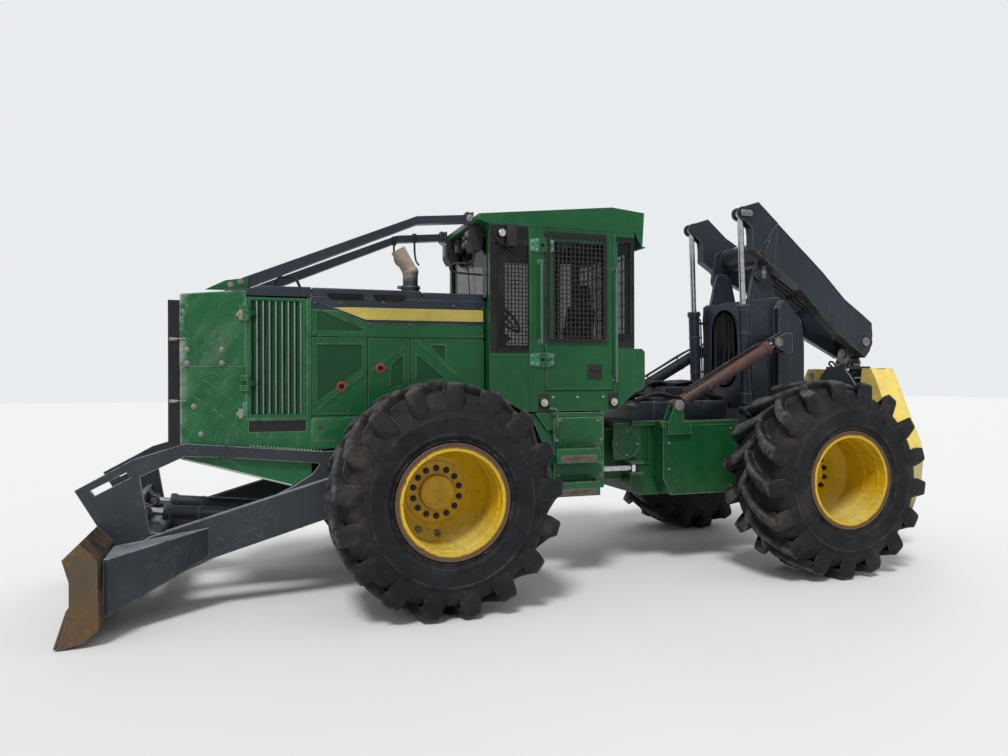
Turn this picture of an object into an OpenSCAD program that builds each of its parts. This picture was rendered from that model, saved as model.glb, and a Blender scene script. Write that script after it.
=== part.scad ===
// Grapple skidder: articulated frame, blade, cab, arch, boom and grapple.
// Working frame: x forward from the front axle, y to the left, z up from the ground.
// Everything is in millimetres. The row frame has its origin under the middle of the length.

/* [Wheels] */
// Distance between the axles
wheelbase = 3700; // [3600:1:3800]
// Radius over the lugs
tyre_r = 905; // [895:1:915]
// Width of a tyre
tyre_w = 775; // [740:1:790]
// Middle of a tyre from the machine's middle
track_y = 1237.5; // [1225:0.5:1260]
// Radius of the bead seat
bead_r = 406.4; // [400:0.1:412]
// Radius of the rim flange
flange_r = 444.5; // [440:0.1:450]
// Width between the outsides of the rim flanges
rim_w = 696; // [680:1:700]
// Depth of a lug
lug_depth = 62; // [40:1:75]
// Radius of the axle tube
axle_r = 150; // [130:1:160]
// Face of the hub flange from the machine's middle
hub_y = 985; // [970:1:1000]
// Radius of the hub flange
hub_r = 235; // [215:1:250]

/* [Frames] */
// Front edge of the front frame
frame_front_x = 1060; // [1040:1:1080]
// Half width of the front frame
frame_half_w = 340; // [330:1:350]
// Underside of both frames
frame_low_z = 700; // [690:1:720]
// Top of the front frame's rails
frame_top_z = 1190; // [1170:1:1200]
// Thickness of the frame plates
frame_t = 40; // [30:1:45]
// Half width of the rear frame's neck
neck_half_w = 400; // [390:1:410]
// Half width of the rear frame's box
box_half_w = 620; // [600:1:640]
// Front edge of the rear frame's box
box_front_x = -2340; // [-2360:1:-2320]
// Rear edge of the rear frame
frame_rear_x = -4140; // [-4160:1:-4130]
// Top of the rear frame
deck_z = 1410; // [1400:1:1420]
// Radius of the articulation pin
artic_pin_r = 60; // [50:1:65]

/* [Hood] */
// Half width of the hood and the radiator housing
hood_half_w = 580; // [570:1:582]
// Rear edge of the hood
hood_rear_x = -545; // [-550:1:-540]
// Front edge of the hood, rear edge of the radiator housing
housing_rear_x = 960; // [950:1:970]
// Front edge of the radiator housing
housing_front_x = 1970; // [1960:1:1980]
// Top of the radiator housing
housing_top_z = 2555; // [2545:1:2565]
// Wall of the housing and the hood
sheet_t = 12; // [8:1:14]

/* [Cab] */
// Front face of the cab
cab_front_x = -560; // [-565:1:-555]
// Rear face of the cab
cab_rear_x = -1985; // [-1995:1:-1975]
// Half width of the cab
cab_half_w = 700; // [690:1:705]
// Underside of the cab's walls
cab_low_z = 1535; // [1530:1:1545]
// Underside of the roof
cab_top_z = 3200; // [3190:1:3210]
// Wall of the cab
cab_t = 30; // [25:1:35]
// Front edge of a door
door_front_x = -1085; // [-1090:1:-1080]
// Rear edge of a door
door_rear_x = -1750; // [-1755:1:-1745]
// Lower edge of a door
door_low_z = 1725; // [1720:1:1730]
// Upper edge of a door
door_top_z = 3130; // [3120:1:3140]

/* [Blade] */
// Pivot of the blade arms, forward of the front axle
blade_pivot_x = 420; // [415:1:425]
// Height of that pivot
blade_pivot_z = 1060; // [1055:1:1065]
// Middle of a blade arm's plate from the machine's middle
blade_arm_y = 606; // [604:1:610]
// Thickness of the blade arm's plates
blade_arm_t = 32; // [28:1:34]
// Half width of the moldboard
blade_half_w = 1290; // [1260:1:1300]
// Height of the cutting edge over the ground
blade_ground_gap = 6; // [4:1:12]

/* [Arch and boom] */
// Pivot of the arch along the frame
arch_pivot_x = -3800; // [-3805:1:-3795]
// Height of that pivot
arch_pivot_z = 1270; // [1265:1:1275]
// Half width of the arch over its side plates
arch_half_w = 400; // [395:1:402]
// Pivot of the boom along the frame
boom_pivot_x = -3646; // [-3650:1:-3640]
// Height of that pivot
boom_pivot_z = 2935; // [2930:1:2940]
// Middle of a boom arm from the machine's middle
boom_arm_y = 455; // [452:1:458]
// Width of a boom arm's box
boom_arm_w = 110; // [106:1:112]
// Tip pivot of the boom along the frame
tip_x = -5130; // [-5140:1:-5120]
// Height of that pivot
tip_z = 2235; // [2230:1:2240]

/* [Grapple] */
// Height of the swing pin under the boom's tip
swing_z = 2110; // [2105:1:2115]
// Height of the tong pivots
tong_pivot_z = 1600; // [1595:1:1605]
// Tong pivots from the machine's middle
tong_pivot_y = 330; // [325:1:335]
// Width of a tong along the machine
tong_w = 300; // [280:1:304]
// Height of the tong cylinder
tong_cyl_z = 1850; // [1845:1:1855]
// Pins of the tong cylinder from the machine's middle
tong_cyl_y = 430; // [425:1:435]

/* [Hidden] */
$fn = 48;
// Running clearance of a pin in its bore
pin_gap = 0.3;
// Clearance between moving pieces
move_gap = 6;
// Gap between nodes that stand beside each other
seat = 0.3;
front_x = 2710;
// Height of the axles in the working frame
axle_z = 905;
// Wheelbase of the working frame, where the places on the rear half belong
drawn_wheelbase = 3700;
rear_shift = drawn_wheelbase - wheelbase;
rear_x = tip_x + rear_shift - tong_w / 2 - 20;
mid_x = (front_x + rear_x) / 2;
artic_x = -wheelbase / 2;
// Front edge of the rear frame behind the articulation, also on the rear half
neck_x = artic_x - 250;
neck_own_x = neck_x - rear_shift;

GREEN = [0.05, 0.33, 0.12];
CHARCOAL = [0.16, 0.18, 0.20];
YELLOW = [0.86, 0.68, 0.05];
BLACK = [0.05, 0.05, 0.05];
STEEL = [0.75, 0.76, 0.78];
RUST = [0.45, 0.27, 0.15];

// Moves the working frame to the row frame
module machine() { translate([-mid_x, 0, tyre_r - axle_z]) children(); }

// Moves what belongs to the rear half, which goes with the rear axle
module rear_half() machine() translate([rear_shift, 0, 0]) children();

// A plate in the side view, from its outline in x and z
module side_plate(points, y_mid, t)
    translate([0, y_mid + t / 2, 0]) rotate([90, 0, 0]) linear_extrude(t) polygon(points);

// A block from its two corners
module block(low, high) translate(low) cube(high - low);

// A round bar across the machine
module cross_bar(x, z, y0, y1, r)
    translate([x, y0, z]) rotate([-90, 0, 0]) cylinder(h = y1 - y0, r = r);

// A round bar in the side view between two points, at one y
module side_bar(from, to, y, r)
    translate([from[0], y, from[1]])
        rotate([0, atan2(to[0] - from[0], to[1] - from[1]), 0]) cylinder(h = norm(to - from), r = r);

// Both sides of the machine
module both() { children(); mirror([0, 1, 0]) children(); }

// Point on the line between two pins, at a distance from the first
function along(from, to, d) = from + (to - from) * d / norm(to - from);

// A hydraulic cylinder's barrel in the side view: tube, head and base eye
module side_barrel(base, top, y, len, r, bore_r, eye_r, eye_w, pin_r)
    difference() {
        union() {
            side_bar(base, along(base, top, eye_r + 30), y, eye_w / 2 - 2);
            side_bar(along(base, top, eye_r + 14), along(base, top, len), y, r);
            side_bar(along(base, top, len - 60), along(base, top, len), y, r + 8);
            cross_bar(base[0], base[1], y - eye_w / 2, y + eye_w / 2, eye_r);
        }
        side_bar(along(base, top, eye_r + 30), along(base, top, len + 20), y, bore_r);
        cross_bar(base[0], base[1], y - eye_w, y + eye_w, pin_r);
    }

// An ear with a round end at its pin and a foot on what carries it
module round_ear(pin, r, foot, y, t) {
    cross_bar(pin[0], pin[1], y - t / 2, y + t / 2, r);
    side_plate(foot, y, t);
}

// Its rod, from inside the barrel to the eye at the far pin
module side_rod(base, top, y, start, r, eye_r, eye_w, pin_r)
    difference() {
        union() {
            side_bar(along(base, top, start), top, y, r);
            cross_bar(top[0], top[1], y - eye_w / 2, y + eye_w / 2, eye_r);
        }
        cross_bar(top[0], top[1], y - eye_w, y + eye_w, pin_r);
    }

// Tyre and rim about the y axis, with the outside towards +y
module wheel_turn() rotate([-90, 0, 0]) rotate_extrude() children();

// Tread bars on each side of a tyre
lug_count = 16;
// Slant of a bar from the wheel's axle
lug_slant = 33;
// Width of a bar along the tread
lug_w = 66;
module tyre_shape() {
    half = tyre_w / 2;
    seat_half = rim_w / 2 - 16 - seat;
    root = tyre_r - lug_depth;
    // Length of a bar's flat top each way, and its outer end
    lug_half = 185;
    lug_end = (half / 2 - lug_w / 2 * sin(lug_slant)) / cos(lug_slant);
    // Height of the flat tops, whose corners reach the tyre's radius
    lug_reach = lug_half * sin(lug_slant) + lug_w / 2 * cos(lug_slant);
    lug_top = (tyre_r - lug_reach * sin(180 / lug_count)) / cos(180 / lug_count);
    wheel_turn() polygon([
        [bead_r + seat, -seat_half], [flange_r + 6, -seat_half], [flange_r + 40, -half + 30], [620, -half],
        [760, -half + 10], [root, -half + 62], [root + 6, 0], [root, half - 62],
        [760, half - 10], [620, half], [flange_r + 40, half - 30],
        [flange_r + 6, seat_half], [bead_r + seat, seat_half]], $fn = 36);
    for (s = [-1, 1]) for (i = [0 : lug_count - 1])
        rotate([0, (i + (s > 0 ? 0 : 0.5)) * 360 / lug_count, 0]) translate([0, s * half / 2, 0])
            rotate([0, 0, s * lug_slant]) translate([-lug_w / 2, 0, 0]) rotate([90, 0, 90])
                linear_extrude(lug_w) polygon([[-s * (lug_half + 20), root - 40],
                    [-s * (lug_half + 20), lug_top - 8], [-s * lug_half, lug_top], [s * (lug_half - 5), lug_top],
                    [s * (lug_end - 2), lug_top - 80], [s * lug_end, lug_top - 150], [s * 150, lug_top - 150]]);
}

// The disc stands on the hub flange, far inside the outer rim flange
module rim_shape() {
    half = rim_w / 2;
    disc_in = hub_y + 0.5 - track_y;
    difference() {
        wheel_turn() polygon([
            [0, disc_in], [hub_r + 45, disc_in], [bead_r - 60, disc_in - 20], [bead_r - 20, -half],
            [flange_r, -half], [flange_r, -half + 14], [bead_r, -half + 16],
            [bead_r, half - 16], [flange_r, half - 14], [flange_r, half],
            [bead_r - 22, half], [bead_r - 22, disc_in + 120], [hub_r + 60, disc_in + 24],
            [hub_r - 90, disc_in + 24], [hub_r - 100, disc_in + 70], [0, disc_in + 70]]);
        translate([0, disc_in + 300, -bead_r + 75]) rotate([90, 0, 0]) cylinder(h = 340, r = 28);
    }
}

module tyre_at(x, side) color(BLACK) machine()
    translate([x, side * track_y, axle_z]) mirror([0, side < 0 ? 1 : 0, 0]) tyre_shape();
module rim_at(x, side) color(YELLOW) machine()
    translate([x, side * track_y, axle_z]) mirror([0, side < 0 ? 1 : 0, 0]) rim_shape();

// Axle: centre housing, tubes, hub flanges
axle_bulb_r = 250;
axle_bulb_y = frame_half_w - 60;
// Space for the axle in the frame around it
module axle_space() {
    cross_bar(0, 0, -box_half_w - 10, box_half_w + 10, axle_r + seat);
    cross_bar(0, 0, -axle_bulb_y - seat, axle_bulb_y + seat, axle_bulb_r + seat);
}
module axle_shape() {
    cross_bar(0, 0, -hub_y, hub_y, axle_r - 20);
    cross_bar(0, 0, -axle_bulb_y, axle_bulb_y, axle_bulb_r);
    both() cross_bar(0, 0, hub_y - 120, hub_y, hub_r);
    both() cross_bar(0, 0, frame_half_w + frame_t, hub_y - 110, axle_r);
}
module front_axle() color(GREEN) machine() translate([0, 0, axle_z]) axle_shape();
module rear_axle() color(GREEN) machine() translate([-wheelbase, 0, axle_z]) axle_shape();

// Front frame
lift_base = [1115, 640];
// Hole for a tow pin in the front plate
tow_r = 30;
tow_z = 905;
nose_top_z = 1040;
platform_z = 1440;
platform_t = 60;
cab_floor_z = 1640;
hinge_plate_up = deck_z - 90;
hinge_plate_low = frame_low_z + 60;
hinge_plate_t = 50;
steer_front = [-880, 450];
steer_rear = [neck_x + 25, 500];
steer_len = norm(steer_rear - steer_front);
steer_z = 965;
module front_chassis() color(GREEN) machine() difference() {
    union() {
        both() side_plate([[frame_front_x, frame_low_z + 60], [frame_front_x, nose_top_z - seat],
            [900, nose_top_z - seat], [700, frame_top_z], [-1100, frame_top_z], [-1100, frame_low_z],
            [900, frame_low_z]], frame_half_w - frame_t / 2, frame_t);
        both() side_plate([[-1100, frame_low_z], [-1100, frame_top_z], [-1260, frame_top_z],
            [-1260, frame_low_z]], 280, frame_t);
        // Belly plate, front plate and rear bulkhead
        block([-1100, -frame_half_w, frame_low_z - 20], [900, frame_half_w, frame_low_z]);
        block([-1290, -300, frame_low_z - 20], [-1090, 300, frame_low_z]);
        block([-1140, -frame_half_w, frame_low_z], [-1100, frame_half_w, frame_top_z]);
        block([frame_front_x - 40, -frame_half_w, frame_low_z - 150],
            [frame_front_x, frame_half_w, nose_top_z - seat]);
        block([-1290, -frame_half_w + 40, frame_low_z], [-1250, frame_half_w - 40, hinge_plate_up + 50]);
        // Hinge plates to the articulation pin
        for (z = [hinge_plate_low, hinge_plate_up])
            translate([0, 0, z]) linear_extrude(hinge_plate_t) difference() {
                hull() {
                    translate([artic_x, 0]) circle(r = 150);
                    translate([-1270, -280]) square([20, 560]);
                }
                translate([artic_x, 0]) circle(r = artic_pin_r);
            }
        // Ears of the lift cylinders' bases
        both() for (y = [255, 325])
            round_ear(lift_base, 50, [[frame_front_x - 10, 570], [lift_base[0], lift_base[1] - 50],
                [lift_base[0], lift_base[1] + 50], [frame_front_x - 10, 720]], y, 20);
        both() cross_bar(lift_base[0], lift_base[1], 245, 335, 30);
        // Pivots of the blade arms
        both() cross_bar(blade_pivot_x, blade_pivot_z, frame_half_w, blade_arm_y - blade_arm_t / 2 - 1, 110);
        both() cross_bar(blade_pivot_x, blade_pivot_z, frame_half_w, blade_arm_y + blade_arm_t / 2 + 20, 60);
        // Step carriers, uprights and the platform rails under the cab, with their isolators
        both() block([-1240, 290, frame_top_z - 120], [-1140, step_inner_y - seat, frame_top_z]);
        both() for (x = [-1090, -700]) block([x, 290, frame_top_z], [x + 80, frame_half_w, platform_z]);
        both() block([-1790, 290, platform_z], [-600, 400, platform_z + platform_t]);
        for (x = [-1040, -1700]) block([x, -560, platform_z], [x + 60, 560, platform_z + platform_t]);
        both() for (x = [-1010, -1740]) translate([x, 350, platform_z + platform_t])
            cylinder(h = cab_floor_z - seat - platform_z - platform_t, r = 48);
        // Ears of the steering cylinders' bases
        both() for (z = [steer_z - 62, steer_z + 42])
            block([steer_front[0] - 60, frame_half_w - 10, z], [steer_front[0] + 60, steer_front[1] + 55, z + 20]);
        both() translate([steer_front[0], steer_front[1], steer_z - 60]) cylinder(h = 120, r = 28);
    }
    translate([0, 0, axle_z]) axle_space();
    translate([frame_front_x - 60, 0, tow_z]) rotate([0, 90, 0]) cylinder(h = 80, r = tow_r);
}

module engine_block() color(CHARCOAL) machine()
    block([-480, -frame_half_w + 10, frame_top_z + seat], [820, frame_half_w - 10, 2150]);

// Radiator housing: sides, top and sloped floor
module radiator_housing() color(GREEN) machine() {
    both() for (z = cooler_hinge_z) hinge_fixed(1461, cooler_hinge_y, z, hood_half_w);
    housing_walls();
    // Belt below the hood's sides, with a step for the engine's side doors
    both() side_plate([[housing_rear_x + 5, 1250], [housing_rear_x + 5, belt_top_z],
        [belt_rear_x, belt_top_z], [belt_rear_x, 1380], [700, 1250]], hood_half_w - sheet_t / 2, sheet_t);
    // Cover plate over the tank, on the left
    side_plate([[1485, 1933], [1485, 2553], [1560, 2553], [1972 - seat, 2500], [1972 - seat, 1933]],
        hood_half_w + 2, 6);
}
belly_z = 950;
belt_top_z = 1524;
belt_rear_x = 300;
module housing_walls() difference() {
    side_plate([[housing_rear_x, belly_z], [1100, belly_z], [housing_front_x, 1211],
        [housing_front_x, 2510], [1500, housing_top_z], [housing_rear_x, housing_top_z]],
        0, 2 * hood_half_w);
    side_plate([[housing_rear_x - 10, belly_z + 20], [1097, belly_z + 20], [housing_front_x + 10, 1234],
        [housing_front_x + 10, 2495], [1500, housing_top_z - sheet_t],
        [housing_rear_x - 10, housing_top_z - sheet_t]], 0, 2 * (hood_half_w - sheet_t));
    both() block([1004, hood_half_w - 30, 1512], [1464, hood_half_w + 10, 2506]);
    // Room for the frame's nose
    block([housing_rear_x - 1, -frame_half_w - seat, belly_z - 10],
        [frame_front_x + seat, frame_half_w + seat, belly_z + 30]);
    // Room for the raised lift cylinders
    block([1180, -385, belly_z - 10], [housing_front_x + 20, 385, 1335]);
    // Air slot under the louvres
    both() block([1004, hood_half_w - 30, 1400], [1455, hood_half_w + 10, 1490]);
}
cooler_hinge_z = [1800, 2370];
cooler_hinge_y = hood_half_w + 20;
// Cooler door with upright louvre slats, one on each side
module cooler_door(side) color(GREEN) machine() mirror([0, side < 0 ? 1 : 0, 0]) {
    difference() {
        block([1010, hood_half_w - 22, 1518], [1458, hood_half_w + 4, 2500]);
        block([1035, hood_half_w - 40, 1545], [1433, hood_half_w + 20, 2472]);
    }
    for (i = [0 : 7])
        side_slat(1040 + i * 49.5);
    for (z = cooler_hinge_z) hinge_moving(1461, cooler_hinge_y, z, hood_half_w + 4);
}

// One upright slat, bent so that it looks to the rear
module side_slat(x) translate([0, 0, 1540]) linear_extrude(940)
    polygon([[x, hood_half_w], [x + 8, hood_half_w], [x + 40, hood_half_w - 16], [x + 52, hood_half_w - 16],
        [x + 52, hood_half_w - 20], [x + 38, hood_half_w - 20]]);

module front_grille() color(BLACK) machine() difference() {
    block([housing_front_x + seat, -578, 1335], [housing_front_x + 88, 578, 2460]);
    for (i = [0 : 7]) for (s = [-1, 1])
        block([housing_front_x - 10, s * 270 - 230, 1400 + i * 128],
            [housing_front_x + 100, s * 270 + 230, 1480 + i * 128]);
}

// Air vents along the hood's upper edge
hood_vents = [[535, 826], [174, 442], [-190, 80]];
hood_top_front_z = 2550;
hood_top_rear_z = 2525;
module hood_top() color(CHARCOAL) machine() difference() {
    side_plate([[hood_rear_x, 2375], [housing_rear_x - seat, 2410], [housing_rear_x - seat, hood_top_front_z],
        [hood_rear_x, hood_top_rear_z]], 0, 2 * hood_half_w);
    side_plate([[hood_rear_x - 10, 2300], [housing_rear_x + 10, 2300],
        [housing_rear_x + 10, hood_top_front_z - sheet_t],
        [hood_rear_x - 10, hood_top_rear_z - sheet_t]], 0, 2 * (hood_half_w - sheet_t));
    both() for (x = hood_vents) block([x[0], hood_half_w - 8, 2488], [x[1], hood_half_w + 10, 2526]);
}
module hood_sides() color(GREEN) machine() both() difference() {
    side_plate([[hood_rear_x, belt_top_z + seat], [housing_rear_x - seat, belt_top_z + seat],
        [housing_rear_x - seat, 2410 - seat], [hood_rear_x, 2375 - seat]], hood_half_w - sheet_t / 2, sheet_t);
    // Recesses of the mesh windows
    for (window = hood_windows) side_plate(window, hood_half_w, 2 * recess);
    // Seams between the side doors
    for (x = hood_seams) block([x, hood_half_w - 5, belt_top_z], [x + 8, hood_half_w + 5, 2180]);
    side_plate([[housing_rear_x, 2193], [housing_rear_x, 2185], [hood_rear_x, 2170], [hood_rear_x, 2178]],
        hood_half_w, 10);
}
recess = 8;
hood_seams = [492, 122];
// Outlines of the mesh windows
hood_windows = [[[916, 2400], [880, 2400], [538, 2285], [538, 2225], [915, 2238]],
    [[915, 2129], [538, 2136], [537, 1902], [914, 1632]],
    [[181, 2055], [181, 1783], [302, 1731], [303, 1929]],
    [[-37, 2128], [-192, 2131], [-193, 1977]],
    [[76, 2044], [-184, 1827], [75, 1809]]];

// Bars that lift branches over the hood: square tubes from the hood's front to the roof
riser_y = 480;
riser_h = 72;
module limb_risers() color(CHARCOAL) machine() both() {
    side_plate([[1600, housing_top_z + seat], [1600, 2585], [1500, 2592 + riser_h], [50, 3190 + riser_h],
        [-461, 3236 + riser_h], [-461, 3236], [44, 3190], [1440, 2592], [1440, housing_top_z + seat]],
        riser_y, riser_h);
    side_plate([[1640, housing_top_z + seat], [1640, housing_top_z + 14], [1400, housing_top_z + 14],
        [1400, housing_top_z + seat]], riser_y, 120);
    // Pinned ends at the roof
    block([-461, riser_y - 46, 3222], [-400, riser_y + 46, 3322]);
}
module exhaust_stack() color(STEEL) machine() translate([-20, -120, 0]) {
    // Cone on the hood, clamp ring, tube and its bent outlet
    translate([0, 0, 2536.15]) rotate_extrude() polygon([[0, 0], [128, 0], [84, 128], [84, 150], [92, 150],
        [92, 184], [72, 184], [72, 310], [0, 310]]);
    translate([0, 0, 2856]) difference() {
        union() {
            sphere(r = 78);
            rotate([0, 30, 0]) cylinder(h = 240, r = 71);
        }
        rotate([0, 30, 0]) translate([0, 0, 90]) cylinder(h = 160, r = 63);
    }
}

// Cab with its windows and door openings cut
cab_skirt_y = 620;
module cab_shell() color(GREEN) machine() {
    difference() {
        side_plate([[cab_front_x, 1731], [-880, cab_low_z], [-1800, cab_low_z], [cab_rear_x, 1700],
            [cab_rear_x, cab_top_z], [cab_front_x, cab_top_z]], 0, 2 * cab_half_w);
        side_plate([[cab_front_x - cab_t, 1760], [-890, cab_floor_z + 30], [cab_rear_x + cab_t, cab_floor_z + 30],
            [cab_rear_x + cab_t, cab_top_z + 10], [cab_front_x - cab_t, cab_top_z + 10]],
            0, 2 * (cab_half_w - cab_t));
        // Space under the floor, between the side skirts
        side_plate([[-700, cab_floor_z], [-700, 1400], [cab_rear_x - 10, 1400], [cab_rear_x - 10, cab_floor_z]],
            0, 2 * cab_skirt_y);
        // Door openings
        both() block([door_rear_x - 6, cab_half_w - cab_t - 10, door_low_z - 6],
            [door_front_x + 6, cab_half_w + 10, door_top_z + 6]);
        // Front side windows, front and rear windows, rear side windows
        both() block([-945, cab_half_w - 50, 2085], [-620, cab_half_w + 10, 3040]);
        block([cab_front_x - 50, -600, 2560], [cab_front_x + 10, 600, 3120]);
        block([cab_rear_x - 10, -560, 2200], [cab_rear_x + 50, 560, 3100]);
        both() block([-1950, cab_half_w - 50, 2250], [-1810, cab_half_w + 10, 3100]);
    }
    both() for (z = door_hinge_z) hinge_fixed(door_front_x + 3, door_hinge_y, z, cab_half_w);
    // Box of the heater behind the cab
    side_plate([[cab_rear_x + 5, 1700], [cab_rear_x - 90, 1720], [cab_rear_x - 120, 1760],
        [cab_rear_x - 120, 2080], [cab_rear_x - 90, 2110], [cab_rear_x + 5, 2110]], 0, 2 * cab_half_w - 30);
}
module cab_roof() color(GREEN) machine()
    side_plate([[-466, 3230], [-560, cab_top_z + seat], [-2000, cab_top_z + seat], [-2073, 3060],
        [-2093, 3391], [-1758, 3423], [-466, 3284]], 0, 2 * cab_half_w);
module cab_glass() color([0.2, 0.25, 0.28, 0.4]) machine() {
    both() block([-945 + seat, cab_half_w - 22, 2085 + seat], [-620 - seat, cab_half_w - 16, 3040 - seat]);
    block([cab_front_x - 22, -600 + seat, 2560 + seat], [cab_front_x - 16, 600 - seat, 3120 - seat]);
    block([cab_rear_x + 16, -560 + seat, 2200 + seat], [cab_rear_x + 22, 560 - seat, 3100 - seat]);
    both() block([-1950 + seat, cab_half_w - 22, 2250 + seat], [-1810 - seat, cab_half_w - 16, 3100 - seat]);
}
module cab_guards() color(BLACK) machine() {
    for (i = [0 : 10]) block([cab_rear_x - 14, -560 + i * 110, 2200], [cab_rear_x - seat, -550 + i * 110, 3100]);
    for (i = [0 : 8]) block([cab_rear_x - 14, -562, 2200 + i * 111], [cab_rear_x - seat, 562, 2210 + i * 111]);
}
// Seat: suspension base, cushion, back, headrest and arm rests
module seat_unit() color(BLACK) machine() {
    block([-1640, -180, cab_floor_z + 30 + seat], [-1300, 180, 1885]);
    side_plate([[-1705, 1870], [-1235, 1870], [-1192, 1900], [-1186, 1958], [-1215, 1996], [-1650, 1972],
        [-1722, 1950]], 0, 500);
    side_plate([[-1745, 1900], [-1645, 1930], [-1672, 2440], [-1702, 2575], [-1775, 2580], [-1802, 2470]],
        0, 460);
    side_plate([[-1706, 2605], [-1790, 2605], [-1800, 2650], [-1780, 2765], [-1725, 2765], [-1700, 2700]],
        0, 280);
    block([-1765, -60, 2560], [-1735, 60, 2620]);
    both() block([-1760, 220, 2100], [-1700, 300, 2170]);
    both() side_plate([[-1755, 2130], [-1400, 2150], [-1345, 2170], [-1350, 2200], [-1755, 2200]], 272, 64);
}
module console() color(CHARCOAL) machine() {
    side_plate([[-890, cab_floor_z + 30 + seat], [-640, 1745.3 + seat], [-640, 2210], [-890, 2210]], 0, 360);
    side_plate([[-900, 2180], [-690, 2180], [-690, 2240], [-760, 2330], [-800, 2330], [-960, 2215]], 0, 300);
    // Lever boxes beside the seat
    both() block([-1560, 330, cab_floor_z + 30 + seat], [-1330, 430, 2120]);
}
step_inner_y = 648;
// Steps: a flat box below the cab with two folded treads on it, as outlines in x, y
step_tread_z = [[775, 900], [1075, 1200]];
module access_steps() color(GREEN) machine() both() {
    block([-1666, step_inner_y, 820], [-1161, cab_half_w, 1521]);
    side_plate([[-1170, 1370], [-1170, 1521], [-990, 1521], [-1100, 1370]],
        (step_inner_y + cab_half_w) / 2, cab_half_w - step_inner_y);
    for (z = step_tread_z) difference() {
        translate([0, 0, z[0]]) linear_extrude(z[1] - z[0])
            polygon([[-1590, cab_half_w - 1], [-1560, 845], [-1140, 845], [-1120, cab_half_w - 1]]);
        translate([0, 0, z[0] + 12]) linear_extrude(z[1] - z[0])
            polygon([[-1572, cab_half_w], [-1549, 833], [-1151, 833], [-1136, cab_half_w]]);
    }
}
// Upright grab rails: column, half length and middle height
rails = [[-1035, 2150, 2890], [-1780, 1800, 2860]];
module handrails() color(STEEL) machine() both() for (rail = rails) {
    translate([rail[0], cab_half_w + 45, rail[1]]) cylinder(h = rail[2] - rail[1], r = 12);
    for (z = [rail[1] + 12, rail[2] - 12])
        translate([rail[0], cab_half_w, z]) rotate([-90, 0, 0]) cylinder(h = 45, r = 12);
}
module work_lamps() color(BLACK) machine() both() {
    side_plate([[-478, 3225.7], [-556, 3201], [-556, 3040], [-530, 2985], [-470, 2985], [-436, 3050],
        [-436, 3185], [-478, 3190]], 420, 190);
}

// Doors, each hinged at its front edge by two knuckles
door_hinge_y = cab_half_w + 20;
hinge_r = 14;
hinge_pin_r = 7;
// The knuckles on the fixed side, with the pin
module hinge_fixed(x, y, z, wall_y) {
    for (dz = [-60, 20]) {
        translate([x, y, z + dz]) cylinder(h = 40, r = hinge_r);
        block([x, wall_y, z + dz], [x + 60, y, z + dz + 40]);
    }
    translate([x, y, z - 62]) cylinder(h = 124, r = hinge_pin_r);
}
// The knuckle on the door
module hinge_moving(x, y, z, wall_y) difference() {
    union() {
        translate([x, y, z - 19.5]) cylinder(h = 39, r = hinge_r);
        block([x - 60, wall_y, z - 19.5], [x, y, z + 19.5]);
    }
    translate([x, y, z - 30]) cylinder(h = 60, r = hinge_pin_r + pin_gap);
}
door_hinge_z = [2000, 3030];
module cab_door(side) color(GREEN) machine() mirror([0, side < 0 ? 1 : 0, 0]) {
    difference() {
        block([door_rear_x, cab_half_w - 28, door_low_z], [door_front_x, cab_half_w + 4, door_top_z]);
        block([-1670, cab_half_w - 50, 2175], [-1165, cab_half_w + 20, 3080]);
        // Recess of the handle
        block([-1627, cab_half_w - 14, 1839], [-1505, cab_half_w + 20, 1941]);
    }
    for (z = door_hinge_z) hinge_moving(door_front_x + 3, door_hinge_y, z, cab_half_w + 4);
}
module door_glass(side) color([0.2, 0.25, 0.28, 0.4]) machine() mirror([0, side < 0 ? 1 : 0, 0])
    block([-1670 + seat, cab_half_w - 18, 2175 + seat], [-1165 - seat, cab_half_w - 12, 3080 - seat]);
module door_guard(side) color(BLACK) machine() mirror([0, side < 0 ? 1 : 0, 0]) {
    for (i = [0 : 12]) block([-1672 + i * 41.5, cab_half_w + 4 + seat, 2168],
        [-1662 + i * 41.5, cab_half_w + 14, 3148 - 30]);
    for (i = [0 : 22]) block([-1676, cab_half_w + 4 + seat, 2168 + i * 42.7],
        [-1160, cab_half_w + 14, 2176 + i * 42.7]);
}

// Blade arms: upper plate with its slot and pocket, lower box arm to the pivot
lift_end = [2250, 760];
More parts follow.
